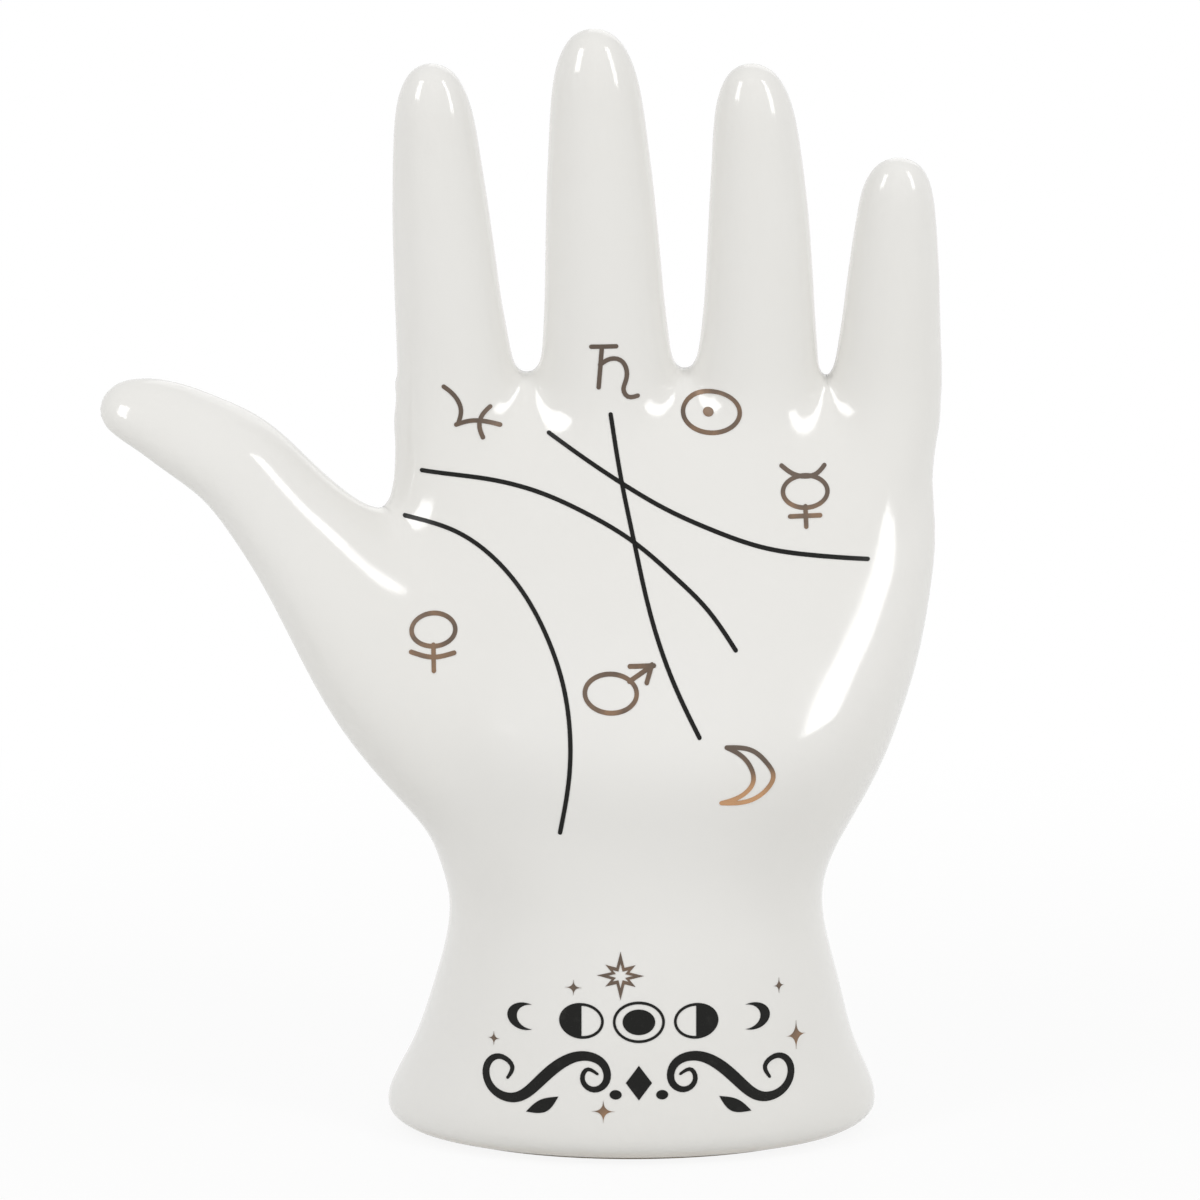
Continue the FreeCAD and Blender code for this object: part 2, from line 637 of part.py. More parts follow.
def scrolls(skin):
    """Mirrored scrolls with leaves and beads either side of a lozenge, in black enamel."""
    middle = flat(ORNAMENT_MIDDLE_SHARE * size("wrist_width"), SCROLL_ROW_SHARE * size("web_height"))
    unit, thin, broad = size("scroll_length"), size("hairline"), size("scroll_line")
    nodes = []
    for name, side in (("left", -1), ("right", 1)):
        points = [middle + flat(side * right, above) * unit for right, above, _ in SCROLL_SHARES]
        widths = [thin + (broad - thin) * weight for _, _, weight in SCROLL_SHARES]
        nodes.append(transfer(f"scroll_{name}", [stroke(points, widths)], skin))
        leaf = [middle + flat(side * right, above) * unit for right, above in LEAF_SHARES]
        nodes.append(transfer(f"leaf_{name}", [polygon(leaf)], skin))
        right, above, radius = BEAD_SHARES
        spot = middle + flat(side * right, above) * unit
        bead = disc(spot, radius * unit * MOON_STRETCH_SHARE, radius * unit)
        nodes.append(transfer(f"bead_{name}", [bead], skin))
    wide, tall = LOZENGE_SHARES
    corners = ((wide, 0), (0, tall), (-wide, 0), (0, -tall))
    points = [middle + flat(right, above) * unit for right, above in corners]
    nodes.append(transfer("lozenge", [polygon(points)], skin))
    return nodes


def main():
    make_sheet()
    outer = whole_hand("glazed", "0")
    form = whole_hand("biscuit", "Sizes.glaze_thickness")
    doc.recompute()
    skin = doc.addObject("Part::Feature", "glaze_surface")
    skin.Shape = outer.Shape.Shells[0]
    skin.Placement = FreeCAD.Placement()
    nodes = [ceramic_body(form), glaze_coat(outer, form)]
    for group in (palm_lines, planet_signs, stars, moon_phases, scrolls):
        nodes += group(skin)
    doc.recompute()
    for item in doc.Objects:
        state = [word for word in item.State if word in ("Invalid", "Error")]
        if state:
            raise RuntimeError(f"{item.Name}: {state}")
    for node in nodes:
        shape = node.Shape
        if shape.isNull() or not shape.isValid():
            raise RuntimeError(f"{node.Label} has no valid shape")
        shape.exportStep(f"parts/{node.Label}.step")
        print(node.Label, len(shape.Solids), round(shape.Volume, 1))


main()
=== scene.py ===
"""Looks of a glazed palmistry hand: clay casting, glaze, palm lines, planet signs, stars and cuff ornament.

Frame: metres, +Z up, the palm faces -Y, the thumb points to -X, origin at the centre of the foot.
"""
import math

import bmesh
import bpy
import numpy as np
from bpy.props import FloatProperty, FloatVectorProperty, PointerProperty
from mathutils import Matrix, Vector


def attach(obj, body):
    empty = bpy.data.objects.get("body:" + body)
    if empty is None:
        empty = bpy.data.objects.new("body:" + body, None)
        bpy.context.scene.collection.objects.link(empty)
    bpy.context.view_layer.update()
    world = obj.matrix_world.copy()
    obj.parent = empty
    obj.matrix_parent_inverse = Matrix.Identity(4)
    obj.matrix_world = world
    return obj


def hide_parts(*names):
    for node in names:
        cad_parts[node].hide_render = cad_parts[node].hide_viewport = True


bl_info = {
    "name": "Palmistry Hand",
    "version": (1, 0, 0),
    "blender": (4, 5, 0),
    "location": "View3D > Sidebar > Palmistry Hand",
    "description": "Glaze skin, fired prints, clay finish and studio of a ceramic palmistry hand",
    "category": "Object",
}

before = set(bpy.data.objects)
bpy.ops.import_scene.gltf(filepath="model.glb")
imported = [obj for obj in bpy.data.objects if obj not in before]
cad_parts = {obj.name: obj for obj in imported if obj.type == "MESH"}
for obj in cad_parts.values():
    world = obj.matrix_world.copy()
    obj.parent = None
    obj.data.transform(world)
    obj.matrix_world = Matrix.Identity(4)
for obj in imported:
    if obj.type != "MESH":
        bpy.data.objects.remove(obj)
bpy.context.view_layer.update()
BODY = "root"
MM = 0.001

# Cuff, wrist and palm: zone whose width and depth are meant, then the height as a share of web_height, the
# sideways shift and the width as shares of the zone's width, and the backward lean and the depth of its depth
TRUNK_SHARES = (
    ("foot", 0.000, -0.004, 0.870, 0.0, 0.845),
    ("foot", 0.013, -0.003, 0.958, 0.0, 0.950),
    ("foot", 0.038, -0.001, 1.000, 0.0, 1.000),
    ("foot", 0.066, 0.001, 0.976, 0.0, 0.989),
    ("foot", 0.112, 0.004, 0.910, 0.0, 0.955),
    ("foot", 0.190, 0.009, 0.835, 0.0, 0.893),
    ("wrist", 0.250, 0.013, 1.034, 0.0, 1.070),
    ("wrist", 0.309, 0.011, 1.000, 0.0, 1.000),
    ("wrist", 0.368, 0.015, 1.038, 0.0, 0.970),
    ("wrist", 0.433, 0.043, 1.116, 0.0, 0.985),
    ("palm", 0.525, 0.050, 0.868, 0.00, 1.760),
    ("palm", 0.608, 0.058, 0.932, 0.05, 1.500),
    ("palm", 0.660, 0.062, 0.962, 0.10, 1.300),
    ("palm", 0.725, 0.0645, 0.990, 0.17, 1.110),
    ("palm", 0.775, 0.066, 1.004, 0.23, 1.000),
    ("palm", 0.880, 0.0635, 0.982, 0.34, 0.780),
    ("palm", 0.930, 0.056, 0.935, 0.38, 0.610),
    ("palm", 0.960, 0.042, 0.850, 0.40, 0.450),
    ("palm", 0.985, 0.018, 0.690, 0.41, 0.290),
    ("palm", 1.000, -0.005, 0.520, 0.42, 0.170),
    ("palm", 1.010, -0.010, 0.0, 0.42, 0.0),
)

# Fingers: where the middle of the finger crosses the webs, how far its tip leans, how far it bows sideways
# half way up and how far its buried root leans, all as shares of palm_width
FINGER_SHARES = {
    "index": (-0.331, -0.042, -0.004, 0.010),
    "middle": (-0.047, -0.026, 0.001, 0.010),
    "ring": (0.234, -0.015, 0.009, -0.020),
    "little": (0.481, 0.012, 0.001, -0.095),
}
# One finger from its buried root to its tip: height above the webs as a share of its length (below them, of
# finger_root), then width and depth as shares of its width
FINGER_PROFILE_SHARES = (
    (-1.20, 0.0, 0.0),
    (-1.00, 0.640, 0.600),
    (-0.50, 0.960, 0.860),
    (0.00, 1.040, 0.870),
    (0.22, 0.965, 0.795),
    (0.45, 0.890, 0.735),
    (0.62, 0.820, 0.690),
    (0.75, 0.752, 0.645),
    (0.86, 0.665, 0.585),
    (0.94, 0.505, 0.460),
    (0.98, 0.325, 0.305),
    (1.00, 0.0, 0.0),
)
# How far back the middle of a finger lies at the webs, and how much less at its tip and at its buried root,
# as shares of palm_depth
FINGER_BACK_SHARE = 0.42
FINGER_TIP_FORWARD_SHARE = 0.20
FINGER_ROOT_FORWARD_SHARE = 0.18

# Thumb: how far its root lies from the middle of the foot as a share of foot_width, then from root to tip how
# far along thumb_reach and up thumb_rise each section lies, and how wide it looks from the palm side, as a
# share of thumb_width. Each section is an ellipse, this flat, and rolled so that its upper edge is set back
THUMB_ROOT_SHARE = 0.238
THUMB_SHARES = (
    (-0.060, -0.090, 0.0),
    (0.000, 0.000, 0.600),
    (0.119, 0.168, 0.880),
    (0.250, 0.337, 0.915),
    (0.363, 0.488, 0.815),
    (0.474, 0.633, 0.665),
    (0.577, 0.761, 0.562),
    (0.680, 0.871, 0.510),
    (0.793, 0.939, 0.447),
    (0.890, 0.984, 0.368),
    (0.948, 0.996, 0.289),
    (0.985, 0.999, 0.168),
    (1.000, 1.000, 0.0),
)
THUMB_FLATNESS_SHARE = 0.66
THUMB_ROLL = math.radians(38.0)

# Printed palm lines: places on the palm as shares of palm_width and web_height
PALM_LINE_SHARES = {
    "heart_line": (
        (-0.156, 0.938), (-0.020, 0.875), (0.062, 0.842), (0.146, 0.816),
        (0.248, 0.792), (0.336, 0.782), (0.437, 0.775),
    ),
    "head_line": (
        (-0.393, 0.888), (-0.297, 0.881), (-0.173, 0.862), (-0.085, 0.836),
        (0.003, 0.800), (0.079, 0.756), (0.134, 0.719), (0.189, 0.666),
    ),
    "fate_line": (
        (-0.041, 0.964), (-0.020, 0.875), (0.003, 0.799), (0.031, 0.714), (0.072, 0.631), (0.121, 0.561),
    ),
    "life_line": (
        (-0.425, 0.828), (-0.338, 0.813), (-0.262, 0.780), (-0.201, 0.733), (-0.153, 0.672),
        (-0.129, 0.624), (-0.118, 0.582), (-0.116, 0.519), (-0.134, 0.434),
    ),
}

# Planet signs: the middle of each on the palm as shares of palm_width and web_height, then its rings (middle
# and half sizes), dots (middle and half sizes) and strokes, all as shares of sign_height
SIGN_SHARES = {
    "jupiter_sign": ((-0.299, 0.966), (), (), (
        ((-0.48, 0.43), (-0.35, 0.33), (-0.24, 0.19), (-0.19, 0.04), (-0.24, -0.20)),
        ((-0.27, -0.21), (-0.05, -0.15), (0.20, -0.16), (0.47, -0.23)),
        ((0.30, 0.08), (0.16, -0.07), (0.12, -0.23), (0.18, -0.43)),
    )),
    "saturn_sign": ((-0.033, 1.020), (), (), (
        ((-0.40, 0.43), (0.02, 0.44)),
        ((-0.22, 0.43), (-0.275, -0.26)),
        ((-0.25, 0.125), (-0.08, 0.225), (0.08, 0.21), (0.19, 0.06),
         (0.18, -0.16), (0.145, -0.31), (0.22, -0.42), (0.38, -0.41)),
    )),
    "sun_sign": ((0.147, 0.965), (((0.0, 0.0), (0.48, 0.34)),), (((-0.05, 0.0), (0.09, 0.08)),), ()),
    "mercury_sign": ((0.321, 0.863), (((0.0, 0.0), (0.38, 0.262)),), (), (
        ((-0.40, 0.43), (-0.22, 0.30), (0.0, 0.245), (0.20, 0.29), (0.33, 0.42)),
        ((0.0, -0.24), (0.012, -0.57)),
        ((-0.26, -0.40), (0.25, -0.39)),
    )),
    "venus_sign": ((-0.369, 0.687), (((0.0, 0.0), (0.367, 0.262)),), (), (
        ((0.0, -0.24), (0.012, -0.655)),
        ((-0.37, -0.34), (0.0, -0.435), (0.35, -0.37)),
    )),
    "mars_sign": ((-0.041, 0.614), (((0.0, 0.0), (0.433, 0.30)),), (), (
        ((0.31, 0.19), (0.67, 0.42)),
        ((0.32, 0.42), (0.72, 0.435)),
        ((0.69, 0.45), (0.60, 0.17)),
    )),
    "moon_sign": ((0.192, 0.512), (), (), (
        ((-0.19, 0.46), (0.02, 0.345), (0.22, 0.10), (0.25, -0.12), (0.07, -0.34), (-0.275, -0.46)),
        ((-0.19, 0.46), (0.23, 0.40), (0.49, 0.17), (0.59, -0.04),
         (0.49, -0.25), (0.19, -0.44), (-0.275, -0.46)),
    )),
}
# Painted highlight on the lustre of each sign, with painted shade where it is low: how bright it is painted
# at its foot and at its head, 0 is brown, 1 is bright copper
PAINTED_SHEEN_SHARES = {
    "jupiter_sign": (0.22, 0.12),
    "saturn_sign": (0.10, 0.08),
    "sun_sign": (0.30, 0.26),
    "mercury_sign": (0.34, 0.10),
    "venus_sign": (0.36, 0.26),
    "mars_sign": (0.32, 0.22),
    "moon_sign": (0.85, 0.00),
    "eight_pointed_star": (0.24, 0.16),
}
# Painted highlight on the lustre of the five sparkles, at the foot and at the head of each
SPARKLE_PAINTED_SHEEN_SHARES = ((0.2, 0.2), (0.2, 0.2), (0.2, 0.2), (0.40, 0.25), (0.40, 0.25))

# Eight-pointed star on the wrist: its middle as shares of wrist_width and web_height, then one quarter of its
# outline (long point, notch, short point, notch) and the size of its open heart, as shares of star_height
STAR_PLACE_SHARES = (-0.033, 0.249)
STAR_QUARTER_SHARES = ((0.50, 0.0), (0.19, 0.075), (0.32, 0.225), (0.085, 0.17))
STAR_HEART_SHARE = 0.52

# Four-pointed sparkles: middle as shares of wrist_width and web_height, width and height of sparkle_height
SPARKLE_SHARES = (
    (-0.156, 0.232, 0.74, 0.65),
    (0.385, 0.224, 0.48, 0.65),
    (-0.366, 0.157, 0.52, 0.57),
    (0.431, 0.157, 0.87, 1.22),
    (-0.078, 0.075, 1.00, 0.96),
)
SPARKLE_HOLLOWNESS = 4.0

# Ornament on the cuff: a row of moon phases over a pair of scrolls with a lozenge, two leaves and two beads
ORNAMENT_MIDDLE_SHARE = 0.015
MOON_ROW_SHARE = 0.190
MOON_STEP_SHARE = 0.150
MOON_STRETCH_SHARE = 1.30
MOON_SIDE_SHARES = (0.70, 0.85, 1.00, 0.85, 0.70)
CRESCENT_SHIFT_SHARE = 0.45
CRESCENT_BITE_SHARE = 0.90
FULL_MOON_SHARE = 0.66
SCROLL_ROW_SHARE = 0.112
SCROLL_SHARES = (
    (0.27, 0.055, 0.0), (0.335, 0.080, 0.15), (0.365, 0.020, 0.25), (0.30, -0.045, 0.35), (0.215, 0.0, 0.50),
    (0.225, 0.110, 0.65), (0.35, 0.165, 0.80), (0.51, 0.105, 1.0), (0.66, -0.030, 1.0), (0.81, -0.130, 0.80),
    (0.96, -0.080, 0.60), (0.985, 0.050, 0.45), (0.90, 0.115, 0.30), (0.82, 0.060, 0.20), (0.85, -0.010, 0.0),
)
LEAF_SHARES = ((0.52, -0.10), (0.60, -0.20), (0.73, -0.21), (0.64, -0.13))
LOZENGE_SHARES = (0.085, 0.110)
BEAD_SHARES = (0.150, -0.075, 0.030)

# Working of the meshes: what counts as one point or a sharp edge, how the skin's points are evened out and
# moved, how fine the tubes and outlines are, and how a print is built up
MERGE_DISTANCE = 0.002 * MM
SHARP_EDGE = math.radians(40)
LEAST_SLOPE = 0.02 * MM
LONGEST_STEP = 3.0 * MM
EVENING_SHARES = (0.5, 0.5, 0.5, 0.5, 0.5, 0.3, 0.0, 0.0)
TUBE_SIDES = 48
TUBE_RINGS = 90
TUBE_START = -3.0 * MM
HOLLOW_GRAIN_SHARE = 2
CIRCLE_POINTS = 96
OVAL_POINTS = 48
ARC_POINTS = 24
SPARKLE_POINTS = 64
SIDE_STEPS = 4
STROKE_STEP = 0.6 * MM
LEAST_STROKE_STEPS = 8
DIRECTION_STEP = 0.01 * MM
STROKE_END_POINTS = 6
LEAF_POINTS = 16
FILM_COLUMNS = 6
FILM_SINK_SHARE = 0.5
FILM_STEP_SHARE = 0.12


def measure(name, description, millimetres):
    """A size that a user can change."""
    return FloatProperty(name=name, description=description, default=millimetres * MM, unit="LENGTH")


class HandSizes(bpy.types.PropertyGroup):
    """Sizes of the casting and its prints, their defaults written in millimetres"""

    web_height: measure("Web height", "Table to webs", 153.0)
    foot_width: measure("Foot width", "Cuff, side to side", 100.8)
    foot_depth: measure("Foot depth", "Cuff, front to back", 72.0)
    wrist_width: measure("Wrist width", "Side to side", 76.6)
    wrist_depth: measure("Wrist depth", "Front to back", 56.4)
    palm_width: measure("Palm width", "Side to side", 109.2)
    palm_depth: measure("Palm depth", "Front to back", 32.0)
    finger_root: measure("Finger root", "Run inside palm", 34.0)
    index_length: measure("Index length", "Above webs", 65.2)
    index_width: measure("Index width", "At the webs", 23.0)
    middle_length: measure("Middle length", "Above webs", 72.2)
    middle_width: measure("Middle width", "At the webs", 25.6)
    ring_length: measure("Ring length", "Above webs", 65.2)
    ring_width: measure("Ring width", "At the webs", 23.6)
    little_length: measure("Little length", "Above webs", 46.2)
    little_width: measure("Little width", "At the webs", 21.2)
    thumb_reach: measure("Thumb reach", "Root to tip", 84.0)
    thumb_rise: measure("Thumb rise", "Root to tip, upwards", 83.0)
    thumb_width: measure("Thumb width", "Ball, across", 38.0)
    thumb_root: measure("Thumb root", "Height in the wrist", 66.0)
    web_softness: measure("Web softness", "Reach of webs", 8.0)
    ball_softness: measure("Ball softness", "Thumb blend", 16.0)
    glaze_thickness: measure("Glaze", "Thickness", 0.5)
    wall: measure("Wall", "Thickness of the clay", 4.0)
    foot_ring: measure("Foot ring", "Width", 7.0)
    foot_recess: measure("Foot recess", "Depth", 3.0)
    vent_radius: measure("Vent radius", "Pour hole", 7.0)
    glaze_line: measure("Glaze line", "Height of its edge", 1.4)
    grain: measure("Mesh grain", "Cell of the skin", 1.3)
    print_thickness: measure("Print", "Height on the glaze", 0.1)
    palm_line: measure("Palm line", "Width of a line", 0.88)
    sign_height: measure("Sign height", "Planet sign", 12.0)
    sign_line: measure("Sign line", "Width of a stroke", 0.90)
    star_height: measure("Star height", "Long points", 9.4)
    sparkle_height: measure("Sparkle height", "Middling", 4.6)
    moon_height: measure("Moon height", "Full moon", 7.6)
    scroll_length: measure("Scroll length", "From middle", 31.0)
    scroll_line: measure("Scroll line", "Broadest stroke", 2.2)
    hairline: measure("Hairline", "Thinnest stroke", 0.55)


def colour(name, description, default):
    """A colour that a user can change."""
    return FloatVectorProperty(
        name=name, description=description, default=default, size=3, min=0, max=1, subtype="COLOR",
    )


class HandColours(bpy.types.PropertyGroup):
    """Colours of the clay, glaze and prints"""

    glaze: colour("Glaze", "Glazed white ware", (0.806, 0.796, 0.770))
    glaze_shade: colour("Glaze shade", "Where the glaze pools", (0.796, 0.785, 0.756))
    bisque: colour("Bisque", "Bare fired clay", (0.640, 0.560, 0.450))
    enamel: colour("Enamel", "Black print", (0.010, 0.010, 0.009))
    # Copper lustre: its bright copper, and a dull brown that is painted shade on it
    lustre: colour("Copper", "Bright copper lustre", (0.540, 0.310, 0.165))
    painted_lustre_shade: colour("Patina", "Dull brown lustre", (0.110, 0.080, 0.060))


def sizes():
    """The sizes as the user has set them."""
    return bpy.context.scene.hand_sizes


def colours():
    """The colours as the user has set them."""
    return bpy.context.scene.hand_colours


def through(knots, values):
    """Natural cubic spline: through one row of values at each knot, with no bend at the ends and straight
    beyond them. The second derivatives m solve h m[i-1] + 2 (h + k) m[i] + k m[i+1] = 6 (rise over k - rise
    over h), where h and k are the steps either side of knot i."""
    knots, values = np.asarray(knots, float), np.asarray(values, float)
    step = np.diff(knots)
    rise = np.diff(values, axis=0) / step[:, None]
    bands = np.eye(len(knots))
    wanted = np.zeros_like(values)
    inner = np.arange(1, len(knots) - 1)
    bands[inner, inner - 1] = step[:-1]
    bands[inner, inner] = 2 * (step[:-1] + step[1:])
    bands[inner, inner + 1] = step[1:]
    wanted[inner] = 6 * np.diff(rise, axis=0)
    bend = np.linalg.solve(bands, wanted)
    first = rise[0] - step[0] * bend[1] / 6
    last = rise[-1] + step[-1] * bend[-2] / 6

    def at(places):
        places = np.asarray(places, float)
        held = np.clip(places, knots[0], knots[-1])
        left = np.clip(np.searchsorted(knots, held, side="right") - 1, 0, len(step) - 1)
        width = step[left][..., None]
        b = (held - knots[left])[..., None] / width
        a = 1 - b
        curve = a * values[left] + b * values[left + 1]
        curve += ((a ** 3 - a) * bend[left] + (b ** 3 - b) * bend[left + 1]) * width ** 2 / 6
        over = (places - held)[..., None]
        return curve + np.where(over < 0, first, last) * over

    return at


def sections(rows):
    """Sections of a limb against its length, from rows of place, middle across, middle front to back, half
    width and half depth. The spline carries the two middles, the squared ratio of depth to width and the
    squared half depth, which falls through nought where the limb closes, so that a tip is round."""
    place, across, back, half_width, half_depth = np.array(rows, float).T
    open_rows = np.flatnonzero(half_width > 0)
    ratio = np.interp(np.arange(len(place)), open_rows, (half_depth[open_rows] / half_width[open_rows]) ** 2)
    return through(place, np.column_stack([across, back, ratio, half_depth ** 2]))


def outside_by(offset, back, section, closing, roll=0.0):
    """How far a point lies outside an elliptical section rolled about its limb, negative inside, to first
    order: ratio u^2 + v^2 - b^2 over the length of its slope, where u and v run along the section's two axes,
    b is the half depth, and closing is how fast b^2 changes along the limb, which rounds the tips."""
    ratio, depth_squared = section
    along = offset * math.cos(roll) + back * math.sin(roll)
    across = back * math.cos(roll) - offset * math.sin(roll)
    level = ratio * along ** 2 + across ** 2
    slope = np.sqrt((ratio * along) ** 2 + across ** 2 + closing ** 2 / 4 + LEAST_SLOPE ** 2)
    return (level - depth_squared) / (2 * slope)


def trunk_sections():
    """Sections of cuff, wrist and palm against height."""
    s = sizes()
    rows = []
    for zone, up, shift, wide, lean, deep in TRUNK_SHARES:
        width, depth = getattr(s, f"{zone}_width"), getattr(s, f"{zone}_depth")
        rows.append((up * s.web_height, shift * width, lean * depth, wide * width / 2, deep * depth / 2))
    return sections(rows)


def finger_sections(finger_name):
    """Sections of one finger against height: its middle leans, bows half way and sways below the webs."""
    s = sizes()
    root, lean, bow, sway = FINGER_SHARES[finger_name]
    length, width = getattr(s, f"{finger_name}_length"), getattr(s, f"{finger_name}_width")
    rows = []
    for up, wide, deep in FINGER_PROFILE_SHARES:
        above, below = max(up, 0.0), max(-up, 0.0)
        shift = root + lean * above + bow * 4 * above * (1 - above) + sway * below * below
        forward = FINGER_TIP_FORWARD_SHARE * above + FINGER_ROOT_FORWARD_SHARE * below * below
        back = FINGER_BACK_SHARE - forward
        height = s.web_height + (length if up > 0 else s.finger_root) * up
        rows.append((height, shift * s.palm_width, back * s.palm_depth, wide * width / 2, deep * width / 2))
    return sections(rows)


def thumb_line():
    """The thumb's middle line and its sections, both against the length run from its buried root."""
    s = sizes()
    table = np.array(THUMB_SHARES)
    across = -s.foot_width * THUMB_ROOT_SHARE - s.thumb_reach * table[:, 0]
    up = s.thumb_root + s.thumb_rise * table[:, 1]
    run = np.concatenate([[0.0], np.cumsum(np.hypot(np.diff(across), np.diff(up)))])
    line = through(run, np.column_stack([across, up]))
    seen_share = math.hypot(math.cos(THUMB_ROLL), THUMB_FLATNESS_SHARE * math.sin(THUMB_ROLL))
    half_width = table[:, 2] / seen_share * s.thumb_width / 2
    rows = np.column_stack([run, 0 * run, 0 * run, half_width, half_width * THUMB_FLATNESS_SHARE])
    return line, sections(rows), run[-1]


def melted(first, second, reach):
    """Smooth union of two limbs: the nearer one, less h^3 reach / 6, where h falls from 1 where both are as
    near to 0 where they differ by reach, so that the crease fills as thick glaze fills it."""
    closeness = np.maximum(reach - np.abs(first - second), 0) / reach
    return np.minimum(first, second) - closeness ** 3 * reach / 6


class HandForm:
    """The glazed hand as a field over space: negative inside, nought on the glaze, positive outside."""

    SEARCH_STEPS = 64
    SEARCH_SHARE = 1.1
    NEWTON_STEPS = 3
    HALVINGS = 32
    SLOPE_STEP = 0.05 * MM

    def __init__(self):
        self.sizes = sizes()
        self.trunk = trunk_sections()
        self.fingers = [finger_sections(name) for name in FINGER_SHARES]
        self.thumb_line, self.thumb, self.thumb_length = thumb_line()

    def upright(self, limb, points):
        """How far the points lie outside a limb with level sections."""
        height = points[:, 2]
        across, back, ratio, depth_squared = limb(height).T
        closing = (limb(height + self.SLOPE_STEP)[:, 3] - depth_squared) / self.SLOPE_STEP
        return outside_by(points[:, 0] - across, points[:, 1] - back, (ratio, depth_squared), closing)

    def nearest_on_thumb(self, places):
        """Length along the thumb's middle line nearest to each place: the best of a row of samples, moved by
        steps of (place - point) . direction over direction squared."""
        samples = np.linspace(0, self.thumb_length * self.SEARCH_SHARE, self.SEARCH_STEPS)
        spots = self.thumb_line(samples)
        apart = (places[:, None, :] - spots[None, :, :]) ** 2
        run = samples[np.argmin(apart.sum(axis=2), axis=1)]
        step = self.SLOPE_STEP
        for _ in range(self.NEWTON_STEPS):
            spot = self.thumb_line(run)
            direction = (self.thumb_line(run + step) - spot) / step
            run = run + ((places - spot) * direction).sum(axis=1) / (direction ** 2).sum(axis=1)
        return run

    def around_thumb(self, points):
        """How far the points lie outside the thumb, whose sections are square to its middle line."""
        places = points[:, [0, 2]]
        run = self.nearest_on_thumb(places)
        spot, step = self.thumb_line(run), self.SLOPE_STEP
        ahead = self.thumb_line(run + step) - spot
        ahead /= np.linalg.norm(ahead, axis=1)[:, None]
        away = places - spot
        offset = away[:, 0] * ahead[:, 1] - away[:, 1] * ahead[:, 0]
        _, back, ratio, depth_squared = self.thumb(run).T
        closing = (self.thumb(run + step)[:, 3] - depth_squared) / step
        return outside_by(offset, points[:, 1] - back, (ratio, depth_squared), closing, THUMB_ROLL)

    def __call__(self, points):
        """The field at each point: trunk, fingers and thumb melted together."""
        value = self.upright(self.trunk, points)
        for finger in self.fingers:
            value = melted(value, self.upright(finger, points), self.sizes.web_softness)
        return melted(value, self.around_thumb(points), self.sizes.ball_softness)

    def slope(self, points):
        """Slope of the field by central differences."""
        columns = []
        for axis in range(3):
            step = np.zeros(3)
            step[axis] = self.SLOPE_STEP
            columns.append((self(points + step) - self(points - step)) / (2 * self.SLOPE_STEP))
        return np.column_stack(columns)

    def carried_to(self, flat):
        """Places of flat artwork carried straight back on to the front of the hand, and the outward direction
        there. Each depth is found by halving the stretch between a spot before the hand and one in the middle
        of the trunk at that height."""
        before = np.full(len(flat), -self.sizes.foot_depth)
        within = self.trunk(np.minimum(flat[:, 1], self.sizes.web_height))[:, 1]
        for _ in range(self.HALVINGS):
            middle = (before + within) / 2
            clear = self(np.column_stack([flat[:, 0], middle, flat[:, 1]])) > 0
            before = np.where(clear, middle, before)
            within = np.where(clear, within, middle)
        places = np.column_stack([flat[:, 0], within, flat[:, 1]])
        outward = self.slope(places)
        return places, outward / np.linalg.norm(outward, axis=1)[:, None]


def grid_faces(rows, columns, start=0, joined=False):
    """Four-sided faces of a grid of rows by columns, numbered from start and turned the same way throughout.
    With joined, the last row meets the first."""
    row = np.arange(rows if joined else rows - 1)[:, None]
    column = np.arange(columns - 1)[None, :]
    here, after = row * columns + column, (row + 1) % rows * columns + column
    corners = np.stack([here, here + 1, after + 1, after], axis=-1)
    return start + corners.reshape(-1, 4)


def mesh_object(name, points, faces):
    """A new mesh object at the origin, from whole arrays of points and four-sided faces."""
    mesh = bpy.data.meshes.new(name)
    mesh.from_pydata(points.tolist(), [], faces.tolist())
    piece = bpy.data.objects.new(name, mesh)
    bpy.context.scene.collection.objects.link(piece)
    return piece


def closed_up(piece):
    """Merges doubled points, so that seams and poles close, and turns every face outwards."""
    shell = bmesh.new()
    shell.from_mesh(piece.data)
    bmesh.ops.remove_doubles(shell, verts=shell.verts, dist=MERGE_DISTANCE)
    bmesh.ops.recalc_face_normals(shell, faces=shell.faces)
    shell.to_mesh(piece.data)
    shell.free()


